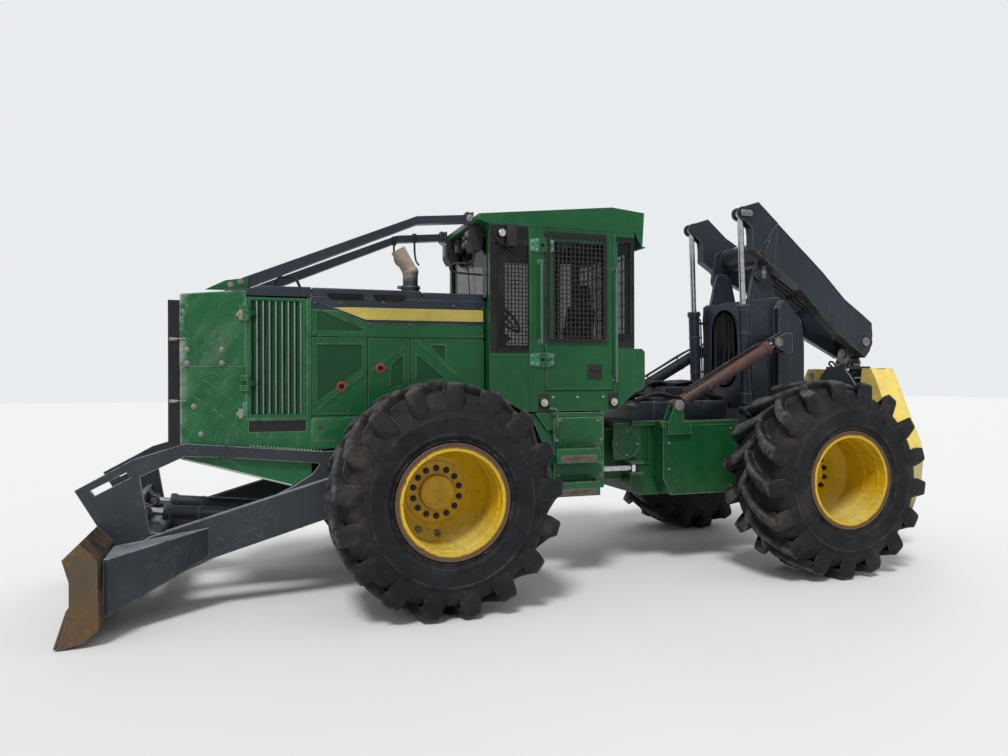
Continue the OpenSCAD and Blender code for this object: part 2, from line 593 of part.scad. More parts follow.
// Rear face of the moldboard, from its foot to its top edge
blade_back = [[2434, 116], [2434, 291], [2441, 430], [2442, 589], [2553, 714]];
lift_y = 290;
module blade_frame() color(CHARCOAL) machine() {
    both() difference() {
        union() {
            side_plate([[2707, 991], [2300, 1215], [1930, 1325], [866, 1228], [784, 1231], [520, 1250], [330, 1200],
                [300, 1000], [400, 910], [1000, 700], for (p = blade_back) p + [-seat, seat]],
                blade_arm_y, blade_arm_t);
            cross_bar(blade_pivot_x, blade_pivot_z, blade_arm_y - blade_arm_t / 2,
                blade_arm_y + blade_arm_t / 2 + 10, 120);
        }
        // Opening between the upper bar and the lower arm
        side_plate([[2257, 1075], [1937, 1223], [1634, 1206], [915, 1134], [898, 1120], [955, 1044],
            [1107, 951], [1249, 884], [2100, 628], [2185, 640]], blade_arm_y, 60);
        side_plate([[2600, 985], [2350, 1115], [2320, 1075], [2570, 945]], blade_arm_y, 60);
        cross_bar(blade_pivot_x, blade_pivot_z, 500, 700, 60 + pin_gap);
    }
    // Box beam along the outside of each arm
    both() side_plate([[2200, 605], [2070, 646], [836, 1003], [690, 1020], [640, 930], [700, 740], [852, 671],
        [1794, 395], [1830, 385], [2250, 560]], blade_arm_y + blade_arm_t / 2 + 18, 38);
    // Cross members between the arms
    cross_bar(2210, 560, -blade_arm_y, blade_arm_y, 85);
    block([2300, -blade_arm_y, 420], [2340, blade_arm_y, 860]);
    both() for (y = [lift_y - 50, lift_y + 50]) {
        round_ear(lift_end, 52, [[2310, 640], [2310, 880], [lift_end[0], lift_end[1] + 52],
            [lift_end[0], lift_end[1] - 52]], y, 20);
        cross_bar(lift_end[0], lift_end[1], y - 14, y + 14, 25);
    }
    // Wings from the arms to the ends of the moldboard
    both() hull() {
        side_plate([[1750, 440], [1750, 660], [1800, 640], [1800, 400]], blade_arm_y + 40, 16);
        side_plate([[2400, 160], [2400, 560], [2434 - seat, 560], [2434 - seat, 160]], 1100, 16);
        side_plate([[2400, 160], [2400, 560], [2434 - seat, 560], [2434 - seat, 160]], blade_arm_y + 40, 16);
    }
}
module moldboard() color(RUST) machine()
    side_plate([[2553, 714], [2656, 611], [2613, 457], [2613, 272], [2691, blade_ground_gap],
        [2660, blade_ground_gap], [2521, 40], for (i = [0 : 3]) blade_back[i]],
        0, 2 * blade_half_w);

module lift_barrels() color(CHARCOAL) machine() both()
    side_barrel(lift_base, lift_end, lift_y, 1010, 58, 31, 50, 48, 30 + pin_gap);
module lift_rods() color(STEEL) machine() both()
    side_rod(lift_base, lift_end, lift_y, 700, 30.5, 42, 38, 25);

// Steering cylinders, in the plan view
module plan_bar(from, to, z, r)
    translate([from[0], from[1], z])
        rotate([0, 90, atan2(to[1] - from[1], to[0] - from[0])]) cylinder(h = norm(to - from), r = r);
module steer_barrel(side) color(CHARCOAL) machine() mirror([0, side < 0 ? 1 : 0, 0]) difference() {
    union() {
        plan_bar(steer_front, along(steer_front, steer_rear, 90), steer_z, 30);
        plan_bar(along(steer_front, steer_rear, 78), along(steer_front, steer_rear, 0.6645 * steer_len), steer_z, 45);
        translate([steer_front[0], steer_front[1], steer_z - 34]) cylinder(h = 68, r = 46);
    }
    plan_bar(along(steer_front, steer_rear, 110), along(steer_front, steer_rear, 0.6645 * steer_len + 20), steer_z, 28);
    translate([steer_front[0], steer_front[1], steer_z - 60]) cylinder(h = 120, r = 28 + pin_gap);
}
module steer_rod(side) color(STEEL) machine() mirror([0, side < 0 ? 1 : 0, 0]) difference() {
    union() {
        plan_bar(along(steer_front, steer_rear, 0.565 * steer_len), steer_rear, steer_z, 27.5);
        translate([steer_rear[0], steer_rear[1], steer_z - 32]) cylinder(h = 64, r = 44);
    }
    translate([steer_rear[0], steer_rear[1], steer_z - 60]) cylinder(h = 120, r = 26);
}

// Rear frame
arch_base = [-2493, 1569];
arch_rod_end = [-3640, 2190];
arch_cyl_y = 600;
module rear_chassis() color(GREEN) rear_half() difference() {
    rear_frame_shape();
    translate([-drawn_wheelbase, 0, axle_z]) axle_space();
}
cover_pos = [neck_own_x + 78, 1208];
module rear_frame_shape() {
    difference() {
        union() {
            both() side_plate([[neck_own_x, frame_low_z + 20], [neck_own_x, deck_z - 40],
                [frame_rear_x, deck_z - 40], [frame_rear_x, 900], [-3950, frame_low_z], [-2200, frame_low_z]],
                neck_half_w - frame_t / 2, frame_t);
            block([neck_own_x - 40, -neck_half_w, frame_low_z + 20], [neck_own_x, neck_half_w, deck_z - 40]);
            // Deck plate with its lip over the neck, floor, tail plate
            block([frame_rear_x, -neck_half_w, deck_z - 40], [neck_own_x, neck_half_w, deck_z]);
            both() block([box_front_x + seat, neck_half_w - 10, deck_z - 40],
                [neck_own_x, neck_half_w + 45, deck_z]);
            block([-3950, -neck_half_w, frame_low_z - 20], [-2200, neck_half_w, frame_low_z]);
            block([frame_rear_x - 40, -neck_half_w, 860], [frame_rear_x, neck_half_w, deck_z]);
        }
        // Slot in the deck for the arch, open to the rear
        block([frame_rear_x - 50, -arch_half_w - move_gap, 1080],
            [-3330, arch_half_w + move_gap, deck_z + 10]);
    }
    // Tongue that holds the articulation pin, between the front frame's plates
    translate([0, 0, hinge_plate_low + hinge_plate_t + move_gap])
        linear_extrude(hinge_plate_up - hinge_plate_low - hinge_plate_t - 2 * move_gap) hull() {
            translate([artic_x - rear_shift, 0]) circle(r = 130);
            translate([neck_own_x - 20, -200]) square([20, 400]);
        }
    translate([artic_x - rear_shift, 0, hinge_plate_low - 10])
        cylinder(h = hinge_plate_up - hinge_plate_low + hinge_plate_t + 20, r = artic_pin_r - pin_gap);
    // Round cover on the neck's side
    both() cross_bar(cover_pos[0] - 130, cover_pos[1], neck_half_w - 10, neck_half_w + 14, 140);
    // Ears and pins of the arch pivot
    both() side_plate([[-3550, deck_z], [-3640, arch_pivot_z + 170], [-3960, arch_pivot_z + 170],
        [-4050, deck_z], [-4125, 1060], [-4125, 940], [-3880, 940], [-3550, 1080]],
        arch_half_w + move_gap + 20, 40);
    both() cross_bar(arch_pivot_x, arch_pivot_z, arch_half_w - 42, arch_half_w + 60, 70);
    both() block([-4050, neck_half_w - 10, 960], [-3900, arch_half_w + move_gap + 10, 1070]);
    both() block([-3560, neck_half_w - 10, 960], [-3330, arch_half_w + move_gap + 40, 1070]);
    // Brackets of the steering rods
    both() for (z = [steer_z - 62, steer_z + 40])
        block([neck_own_x - 60, neck_half_w - 20, z], [neck_own_x + 65, steer_rear[1] + 50, z + 22]);
}
// Boxes beside the rear frame, with the brackets of the arch cylinders
module side_boxes() color(GREEN) rear_half() both() {
    side_plate([[box_front_x, deck_z], [-3160, deck_z], [-3160, 700], [-2420, 700], [box_front_x, 860]],
        (neck_half_w + seat + box_half_w) / 2, box_half_w - neck_half_w - seat);
    side_plate([[box_front_x + 20, deck_z - 40], [box_front_x + 20, deck_z], [-3180, deck_z], [-3180, deck_z - 40]],
        box_half_w - 10, 32);
    for (y = [arch_cyl_y - 50, arch_cyl_y + 50])
        round_ear(arch_base, 50, [[-2370, deck_z - 20], [arch_base[0] + 50, arch_base[1]],
            [arch_base[0] - 50, arch_base[1]], [arch_base[0] - 50, deck_z - 20]], y, 20);
    block([-2620, box_half_w - 10, deck_z - 120], [-2370, arch_cyl_y + 60, deck_z]);
    cross_bar(arch_base[0], arch_base[1], arch_cyl_y - 60, arch_cyl_y + 60, 32);
}
// Cover over the rear frame, from the cab back to the arch
module deck_covers() color(CHARCOAL) rear_half() {
    front = cab_rear_x - 165 - rear_shift;
    side_plate([[front, deck_z + seat], [front, 1560], [front - 150, 1600], [-3230, 1600],
        [-3230, deck_z + seat]], 0, 2 * 380);
    side_plate([[-2560, 1590], [-2600, 1735], [-3060, 1735], [-3130, 1590]], 0, 2 * 210);
}
winch_pos = [-3740, 1760];
module winch() color(CHARCOAL) rear_half() {
    cross_bar(winch_pos[0], winch_pos[1], -arch_half_w + 40 + seat, arch_half_w - 40 - seat, 55);
    cross_bar(winch_pos[0], winch_pos[1], -240, 240, 110);
    for (y = [-270, 240]) cross_bar(winch_pos[0], winch_pos[1], y, y + 30, 165);
}

// Arch
boom_base = [-3400, 1500];
boom_nose = [-3337, 3517];
module arch() color(CHARCOAL) rear_half() {
    both() difference() {
        union() {
            side_plate([[-3460, 1420], [-3460, 2640], [-3846, 2683], [-4063, 2479], [-4102, 2195],
                [-4103, 1600], [-3930, 1180], [-3700, 1180]], arch_half_w - 20, 40);
            side_plate([[-3790, 1600], [-3790, 2560], [-3846, 2640], [-4063, 2440], [-4102, 2195], [-4103, 1600]],
                arch_half_w + 40, 80);
        }
        cross_bar(arch_pivot_x, arch_pivot_z, 300, 600, 70 + pin_gap);
    }
    difference() {
        block([-3500, -arch_half_w, 1500], [-3460, arch_half_w, 2640]);
        hull() for (z = [1950, 2350]) translate([-3520, 0, z]) rotate([0, 90, 0]) cylinder(h = 80, r = 220);
    }
    block([-3860, -arch_half_w, 2600], [-3460, arch_half_w, 2640]);
    block([-4100, -arch_half_w, 1600], [-4060, arch_half_w, 2200]);
    // Lugs and pins of the boom pivot
    both() side_plate([[-3500, 2630], [-3560, 2900], [-3590, 3000], [-3700, 3000], [-3780, 2900],
        [-3846, 2630]], 340, 40);
    both() cross_bar(boom_pivot_x, boom_pivot_z, 330, 414, 50);
    // Ears of the boom cylinders' bases, and lugs of the arch cylinders' rods
    both() for (y = [boom_arm_y - 45, boom_arm_y + 45])
        round_ear(boom_base, 50, [[boom_base[0], boom_base[1] - 50], [boom_base[0], boom_base[1] + 50],
            [-3520, boom_base[1] + 50], [-3520, boom_base[1] - 70]], y, 20);
    both() block([-3540, arch_half_w - 10, boom_base[1] - 70], [-3480, boom_arm_y + 55, boom_base[1] + 50]);
    both() cross_bar(boom_base[0], boom_base[1], boom_arm_y - 54, boom_arm_y + 54, 35);
    both() for (y = [arch_cyl_y - 56, arch_cyl_y + 56]) {
        side_plate([[-3595, 2150], [-3595, 2230], [-3740, 2290], [-3740, 2090]], y, 20);
        cross_bar(arch_rod_end[0], arch_rod_end[1], y - 13, y + 13, 30);
    }
    both() block([-3810, arch_half_w + 70, 2090], [-3730, arch_cyl_y + 66, 2290]);
}
module arch_barrels() color(RUST) rear_half() both()
    side_barrel(arch_base, arch_rod_end, arch_cyl_y, 1215, 62, 36, 55, 70, 32 + pin_gap);
module arch_rods() color(STEEL) rear_half() both()
    side_rod(arch_base, arch_rod_end, arch_cyl_y, 200, 35.5, 52, 60, 30);
module boom_barrels() color(CHARCOAL) rear_half() both()
    side_barrel(boom_base, boom_nose, boom_arm_y, 1085, 60, 31, 55, 60, 35 + pin_gap);
module boom_rods() color(STEEL) rear_half() both()
    side_rod(boom_base, boom_nose, boom_arm_y, 900, 30.5, 48, 56, 30);

// Boom: two arms that converge to the tip, joined by a round tube, with forked noses
// Half distance of the arms' middles at the tip, and the turn of an arm in the plan
boom_tip_half = 192.5;
boom_root_x = -3700;
boom_turn = atan2(boom_arm_y - boom_tip_half, boom_root_x - tip_x);
// Outline of an arm, back from the root
boom_arm = [[130, 3120], [-60, 3441], [-740, 2980], [-1100, 2700], [-1400, 2540], [-1554, 2452],
    [-1570, 2300], [-1526, 2141], [-1440, 2056], [-920, 2351], [-715, 2508], [-410, 2770], [60, 3000]];
module boom() color(CHARCOAL) rear_half() {
    both() difference() {
        translate([boom_root_x, boom_arm_y, 0]) rotate([0, 0, boom_turn])
            side_plate([for (p = boom_arm) [p[0] / cos(boom_turn), p[1]]], 0, boom_arm_w - 10);
        cross_bar(tip_x, tip_z, 0, 300, 42);
    }
    // Straight root of an arm, up to its forked nose
    both() side_plate([[-3450, 3150], [-3450, 3400], [-3530, 3600], [-3757, 3441], [-3720, 3000],
        [-3620, 3040]], boom_arm_y, boom_arm_w - 2);
    both() cross_bar(tip_x, tip_z, boom_tip_half - 45, boom_tip_half + 75, 95);
    cross_bar(tip_x, tip_z, -boom_tip_half, boom_tip_half, 40);
    cross_bar(-3800, 3170, -boom_arm_y, boom_arm_y, 140);
    block([-4650, -260, 2560], [-4560, 260, 2600]);
    both() for (y = [boom_arm_y - 45, boom_arm_y + 45]) {
        side_plate([[-3300, 3570], [-3521, 3642], [-3757, 3441], [-3700, 3200], [-3522, 3115], [-3470, 3161],
            [-3440, 3380], [-3330, 3460], [-3290, 3490]], y, 20);
        cross_bar(boom_nose[0], boom_nose[1], y - 10, y + 10, 68);
        cross_bar(boom_nose[0], boom_nose[1], y - 13, y + 13, 30);
    }
    // Hubs on the boom pivot, outside the arch's lugs
    both() difference() {
        hull() {
            cross_bar(boom_pivot_x, boom_pivot_z, 370, 410, 90);
            cross_bar(-3700, 3180, 370, 410, 100);
        }
        cross_bar(boom_pivot_x, boom_pivot_z, 300, 450, 50 + pin_gap);
    }
}

// The link that hangs from the boom's tip, and the yoke that swings on it
module crosshead() color(CHARCOAL) rear_half() difference() {
    union() {
        cross_bar(tip_x, tip_z, -118, 118, 75);
        side_plate([[tip_x - 45, swing_z - 40], [tip_x + 45, swing_z - 40], [tip_x + 45, swing_z + 78],
            [tip_x + 70, tip_z], [tip_x - 70, tip_z], [tip_x - 45, swing_z + 78]], 0, 120);
        translate([tip_x - 45, 0, swing_z]) rotate([0, 90, 0]) cylinder(h = 90, r = 62);
    }
    cross_bar(tip_x, tip_z, -130, 130, 40 + pin_gap);
    translate([tip_x - 60, 0, swing_z]) rotate([0, 90, 0]) cylinder(h = 120, r = 30 + pin_gap);
}
yoke_z = 1990;
module yoke() color(STEEL) rear_half() {
    for (x = [tip_x - 51 - 24, tip_x + 51]) translate([x, 0, 0]) difference() {
        rotate([90, 0, 90]) linear_extrude(24)
            polygon([[-120, yoke_z], [120, yoke_z], [60, swing_z + 50], [-60, swing_z + 50]]);
    }
    translate([tip_x - 80, 0, swing_z]) rotate([0, 90, 0]) cylinder(h = 160, r = 30);
    translate([tip_x, 0, yoke_z - 20]) cylinder(h = 20, r = 130);
}
// Grapple head: turntable, top plate, and the two plates that carry the tongs
module tong_bore(z, y, r) translate([tip_x - 300, y, z]) rotate([0, 90, 0]) cylinder(h = 600, r = r);
module grapple_head() color(YELLOW) rear_half() {
    translate([tip_x, 0, 1945]) cylinder(h = yoke_z - 20 - 0.5 - 1945, r = 130);
    block([tip_x - tong_w / 2 - 30, -150, 1935], [tip_x + tong_w / 2 + 30, 150, 1960]);
    for (x = [tip_x - tong_w / 2 - 30, tip_x + tong_w / 2 + 8]) translate([x, 0, 0])
        rotate([90, 0, 90]) linear_extrude(22) polygon([[-150, 1935], [-tong_pivot_y - 70, 1640],
            [-tong_pivot_y - 70, 1540], [tong_pivot_y + 70, 1540], [tong_pivot_y + 70, 1640], [150, 1935]]);
    for (s = [-1, 1]) translate([tip_x - tong_w / 2 - 34, s * tong_pivot_y, tong_pivot_z])
        rotate([0, 90, 0]) cylinder(h = tong_w + 68, r = 32);
}
// Tongs: a curved arm with its point, an eye on the head and a forked ear for the cylinder
tong_eye_half = 50;
module tong(side) color(YELLOW) rear_half() mirror([0, side < 0 ? 1 : 0, 0]) {
    difference() {
        translate([tip_x + tong_w / 2, 0, 0]) rotate([90, 0, -90]) linear_extrude(tong_w) scale([-1, 1])
            polygon([[370, 1935], [490, 1935], [560, 1820], [700, 1500], [870, 1150], [900, 1000], [870, 700],
                [760, 430], [600, 230], [520, 180], [505, 200], [640, 480], [730, 760], [745, 1000],
                [700, 1150], [560, 1330], [420, 1500], [330, 1545], [275, 1600], [330, 1680]]);
        tong_bore(tong_pivot_z, tong_pivot_y, 32 + pin_gap);
        block([tip_x - tong_eye_half - 6, tong_cyl_y - 150, tong_cyl_z - 110],
            [tip_x + tong_eye_half + 6, tong_cyl_y + 65, tong_cyl_z + 110]);
    }
    if (side < 0) translate([tip_x - tong_eye_half - 20, tong_cyl_y, tong_cyl_z])
        rotate([0, 90, 0]) cylinder(h = 2 * tong_eye_half + 40, r = 30);
}
module tong_barrel() color(CHARCOAL) rear_half() difference() {
    union() {
        cross_bar(tip_x, tong_cyl_z, -tong_cyl_y + 30, 90, 50);
        translate([tip_x - tong_eye_half, -tong_cyl_y, tong_cyl_z])
            rotate([0, 90, 0]) cylinder(h = 2 * tong_eye_half, r = 52);
    }
    cross_bar(tip_x, tong_cyl_z, -tong_cyl_y + 70, 120, 28);
    translate([tip_x - 100, -tong_cyl_y, tong_cyl_z]) rotate([0, 90, 0]) cylinder(h = 200, r = 30 + pin_gap);
}
module tong_rod() color(STEEL) rear_half() {
    cross_bar(tip_x, tong_cyl_z, -120, tong_cyl_y, 27.5);
    translate([tip_x - tong_eye_half, tong_cyl_y, tong_cyl_z])
        rotate([0, 90, 0]) cylinder(h = 2 * tong_eye_half, r = 48);
}

front_chassis();
front_axle();
engine_block();
radiator_housing();
front_grille();
hood_top();
hood_sides();
limb_risers();
exhaust_stack();
cab_shell();
cab_roof();
cab_glass();
cab_guards();
seat_unit();
console();
access_steps();
handrails();
work_lamps();
cooler_door(1);  // cooler_door_left
cooler_door(-1);  // cooler_door_right
cab_door(1);  // cab_door_left
cab_door(-1);  // cab_door_right
door_glass(1);  // door_glass_left
door_glass(-1);  // door_glass_right
door_guard(1);  // door_guard_left
door_guard(-1);  // door_guard_right
blade_frame();
moldboard();
lift_barrels();
lift_rods();
steer_barrel(1);  // steer_barrel_left
steer_barrel(-1);  // steer_barrel_right
steer_rod(1);  // steer_rod_left
steer_rod(-1);  // steer_rod_right
rear_chassis();
side_boxes();
rear_axle();
deck_covers();
winch();
arch();
arch_barrels();
arch_rods();
boom_barrels();
boom_rods();
boom();
crosshead();
yoke();
grapple_head();
tong(1);  // tong_left
tong(-1);  // tong_right
tong_barrel();
tong_rod();
tyre_at(0, 1);  // tyre_front_left
tyre_at(0, -1);  // tyre_front_right
tyre_at(-wheelbase, 1);  // tyre_rear_left
tyre_at(-wheelbase, -1);  // tyre_rear_right
rim_at(0, 1);  // rim_front_left
rim_at(0, -1);  // rim_front_right
rim_at(-wheelbase, 1);  // rim_rear_left
rim_at(-wheelbase, -1);  // rim_rear_right
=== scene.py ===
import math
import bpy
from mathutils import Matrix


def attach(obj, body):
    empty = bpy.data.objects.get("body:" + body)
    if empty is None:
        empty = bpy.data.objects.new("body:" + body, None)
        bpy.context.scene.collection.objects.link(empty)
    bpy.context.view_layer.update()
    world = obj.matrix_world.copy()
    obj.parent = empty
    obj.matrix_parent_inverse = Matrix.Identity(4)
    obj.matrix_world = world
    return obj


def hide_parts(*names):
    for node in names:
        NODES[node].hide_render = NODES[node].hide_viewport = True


bl_info = {"name": "Grapple skidder dresser", "version": (1, 0, 0), "blender": (4, 5, 0),
        "location": "3D View > Sidebar > Skidder",
        "description": "Finishes and fine parts for a grapple skidder, on its packed frame",
        "category": "Object"}

from contextlib import contextmanager

import bmesh
import bpy
from bpy.props import FloatProperty, FloatVectorProperty, IntProperty, PointerProperty
from mathutils import Matrix, Vector, noise

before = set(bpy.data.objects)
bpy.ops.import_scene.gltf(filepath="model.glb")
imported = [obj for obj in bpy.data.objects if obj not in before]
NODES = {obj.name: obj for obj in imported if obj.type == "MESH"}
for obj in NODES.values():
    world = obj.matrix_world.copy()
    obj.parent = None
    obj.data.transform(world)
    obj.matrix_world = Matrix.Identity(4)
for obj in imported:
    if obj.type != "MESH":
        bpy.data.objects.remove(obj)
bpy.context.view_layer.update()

# The part's own drawing has its origin at the front axle, this far behind the middle of the box
SHIFT = 1.295
FRONT_AXLE = Vector((SHIFT, 0.0, 0.905))
REAR_AXLE = Vector((SHIFT - 3.7, 0.0, 0.905))
AXLES = (("front", FRONT_AXLE), ("rear", REAR_AXLE))
SIDES = (("left", 1), ("right", -1))

# The photograph's camera, as fitted: focal length and width in pixels, place in the part's drawing
FOCAL_PIXELS = 762.73
PHOTO_WIDTH = 1008
CAMERA_PLACE = (1.457, 7.113, 1.833)


def at(x, y, z):
    """A point of the part's drawing, in metres from the front axle, in the row's frame."""
    return Vector((x + SHIFT, y, z))


class Signal:
    """A value socket of a shader, with the arithmetic that the finishes use."""

    def __init__(self, tree, socket):
        self.tree = tree
        self.socket = socket

    def _math(self, operation, *values, clamp=False):
        node = self.tree.nodes.new("ShaderNodeMath")
        node.operation = operation
        node.use_clamp = clamp
        for entry, value in zip(node.inputs, values):
            if isinstance(value, Signal):
                self.tree.links.new(value.socket, entry)
            else:
                entry.default_value = value
        return Signal(self.tree, node.outputs[0])

    def __add__(self, other):
        return self._math("ADD", self, other)

    __radd__ = __add__

    def __sub__(self, other):
        return self._math("SUBTRACT", self, other)

    def __rsub__(self, other):
        return self._math("SUBTRACT", other, self)

    def __mul__(self, other):
        return self._math("MULTIPLY", self, other)

    __rmul__ = __mul__

    def __truediv__(self, other):
        return self._math("DIVIDE", self, other)

    def power(self, other):
        return self._math("POWER", self, other)

    def most(self, other):
        return self._math("MAXIMUM", self, other)

    def least(self, other):
        return self._math("MINIMUM", self, other)

    def held(self):
        """The value held between 0 and 1."""
        return self._math("ADD", self, 0.0, clamp=True)

    def step(self, low, high):
        """0 below low, 1 above high, smooth between."""
        node = self.tree.nodes.new("ShaderNodeMapRange")
        node.interpolation_type = "SMOOTHSTEP"
        self.tree.links.new(self.socket, node.inputs["Value"])
        node.inputs["From Min"].default_value = low
        node.inputs["From Max"].default_value = high
        return Signal(self.tree, node.outputs["Result"])


class Finish:
    """A material under construction: its nodes, and the patterns that the skidder's surfaces share."""

    def __init__(self, name):
        self.material = bpy.data.materials.new(name)
        self.material.use_nodes = True
        self.tree = self.material.node_tree
        self.shader = self.tree.nodes["Principled BSDF"]
        self.place = self.node("ShaderNodeTexCoord", out="Object")
        self.normal = self.node("ShaderNodeNewGeometry", out="Normal")
        self.colour = None

    def node(self, kind, settings=None, inputs=None, out=0):
        """A new node, its settings made first, then its values or links; returns one output as a Signal."""
        made = self.tree.nodes.new(kind)
        for key, value in (settings or {}).items():
            setattr(made, key, value)
        self.fill(made, inputs or {})
        return Signal(self.tree, made.outputs[out])

    def fill(self, node, inputs):
        """Links or sets a node's sockets."""
        for key, value in inputs.items():
            entry = node.inputs[key]
            if isinstance(value, Signal):
                self.tree.links.new(value.socket, entry)
            elif entry.type == "RGBA" and len(value) == 3:
                entry.default_value = (*value, 1.0)
            else:
                entry.default_value = value

    def mapped(self, scale=(1, 1, 1), turn=(0, 0, 0), move=(0, 0, 0)):
        """Object coordinates stretched, turned and moved."""
        return self.node("ShaderNodeMapping",
                inputs={"Vector": self.place, "Scale": scale, "Rotation": turn, "Location": move})

    def slanted(self, turn, along, across, move=(0, 0, 0)):
        """Object coordinates turned first and then drawn out along their own X, for streaks that lie aslant."""
        return self.node("ShaderNodeMapping", {"vector_type": "TEXTURE"},
                {"Vector": self.place, "Scale": (along, along, across), "Rotation": turn, "Location": move})

    def cloud(self, scale, detail=3.0, rough=0.5, where=None):
        """A soft noise from 0 to 1."""
        return self.node("ShaderNodeTexNoise",
                inputs={"Vector": where or self.place, "Scale": scale, "Detail": detail,
                "Roughness": rough}, out="Fac")

    def bands(self, direction, scale, distortion, profile="SIN"):
        """Even bands across one direction."""
        return self.node("ShaderNodeTexWave", {"bands_direction": direction, "wave_profile": profile},
                {"Vector": self.place, "Scale": scale, "Distortion": distortion}, out="Fac")

    def along(self, axis):
        """One object coordinate, in metres."""
        return self.node("ShaderNodeSeparateXYZ", inputs={"Vector": self.place}, out=axis)

    def from_axles(self):
        """Distance from the nearer axle, in the side view."""
        x, z = self.along("X"), self.along("Z") - FRONT_AXLE.z
        front, rear = x - FRONT_AXLE.x, x - REAR_AXLE.x
        return ((front * front).least(rear * rear) + z * z).power(0.5)

    def facing(self, axis):
        """One part of the surface's own direction."""
        return self.node("ShaderNodeSeparateXYZ", inputs={"Vector": self.normal}, out=axis)

    def blend(self, first, second, factor, how="MIX"):
        """Two colours mixed by a factor."""
        return self.node("ShaderNodeMix", {"data_type": "RGBA", "blend_type": how},
                {0: factor, 6: first, 7: second}, out=2)

    def edge(self, reach=0.006):
        """1 on the sharp edges of a piece, 0 on its flats."""
        round_normal = self.node("ShaderNodeBevel", {"samples": 6}, {"Radius": reach})
        same = self.node("ShaderNodeVectorMath", {"operation": "DOT_PRODUCT"},
                {0: round_normal, 1: self.normal}, out="Value")
        return (1.0 - same).step(0.02, 0.22)

    def relief(self, height, strength=0.3, distance=0.002, soft_edge=0.003):
        """A bump on the surface, over edges that are broken by a small radius."""
        inputs = {"Height": height, "Strength": strength, "Distance": distance}
        if soft_edge:
            inputs["Normal"] = self.node("ShaderNodeBevel", {"samples": 4}, {"Radius": soft_edge})
        return self.node("ShaderNodeBump", inputs=inputs)

    def scratches(self, scale=2.2, stretch=9.0, width=0.012):
        """Thin streaks in a few directions, 1 on a streak."""
        total = None
        for turn, push in ((0.95, 0.3), (0.35, 1.7), (-0.75, 2.9), (1.45, 4.1)):
            where = self.slanted((turn * 0.7, turn, turn * 0.3), 1 / scale,
                    1 / (scale * stretch), (push, push, push))
            wave = self.cloud(1.7, 2.0, 0.4, where=where)
            line = 1.0 - (wave - 0.5)._math("ABSOLUTE", wave - 0.5).step(0.0, width)
            patch = self.cloud(1.9, 1.0, where=self.mapped(move=(push * 3, push, push * 2))).step(0.52, 0.6)
            line = line * patch
            total = line if total is None else total.most(line)
        return total

    def over(self, colour, factor):
        """Lays a colour over what the finish has so far."""
        self.colour = self.blend(self.colour, colour, factor)

    def done(self, roughness, normal=None, **rest):
        """Links the colour, roughness and relief, and sets the plain numbers."""
        pairs = {"Base Color": self.colour, "Roughness": roughness}
        pairs.update((key.replace("_", " "), value) for key, value in rest.items())
        if normal is not None:
            pairs["Normal"] = normal
        self.fill(self.shader, pairs)
        return self.material


DUST = (0.34, 0.25, 0.17)


def toned(colour, times, more=0.0):
    """A colour made darker or lighter."""
    return tuple(min(1.0, c * times + more) for c in colour)


def paint(name, colour, scuff=0.25, dust=0.35, edge=0.7, edge_wear_and_highlight_colour=(0.45, 0.46, 0.43), gloss=0.32, low=0.9,
        soil=DUST, under=None, rise=(0.2, 0.85)):
    """Enamel on steel: uneven colour, fine streaks, worn edges that on the blade frame are also a painted
    highlight, and dust on what faces up or lies low.
    """
    f = Finish(name)
    broad = f.cloud(0.9, 2.0)
    fine = f.cloud(7.0, 4.0, 0.62)
    grit = f.cloud(55.0, 3.0, 0.7)
    dark = toned(colour, 0.72)
    light = toned(colour, 1.22, 0.004)
    f.colour = f.blend(dark, light, (broad * 0.6 + fine * 0.4).step(0.25, 0.78))
    streak = f.scratches() * scuff
    haze = f.cloud(3.1, 5.0, 0.68).step(0.5, 0.78) * scuff * 0.4
    pale = toned(colour, 0.55, 0.12)
    f.over(pale, (streak + haze).held())
    # Pale edges: worn paint, and on the blade frame also a painted highlight along its edges
    edge_wear_and_highlight = (f.edge(0.009) * (fine * 0.55 + grit * 0.6).step(0.42, 0.62) * edge).held()
    f.over(edge_wear_and_highlight_colour, edge_wear_and_highlight)
    height = f.along("Z")
    lowness = 1.0 - height.step(low - 0.5, low + 0.5)
    up = f.facing("Z")
    top = up.step(*rise)
    film = ((top * 0.75 + lowness * 0.4) * (fine * 0.5 + broad * 0.5).step(0.3, 0.72) * dust).held()
    f.over(soil, film)
    if under is not None:
        belly = ((0.0 - up).step(0.25, 0.9) * fine.step(0.3, 0.6) * 0.6).held()
        f.over(under, belly)
    rough = gloss + film * 0.55 + streak * 0.35 + edge_wear_and_highlight * 0.3 + grit * 0.06
    bump = f.relief(grit * 0.25 + fine * 0.6 - edge_wear_and_highlight * 0.5, 0.22, 0.0016)
    return f.done(rough.held(), bump, Coat_Weight=0.08, Coat_Roughness=0.22, Specular_IOR_Level=0.26)


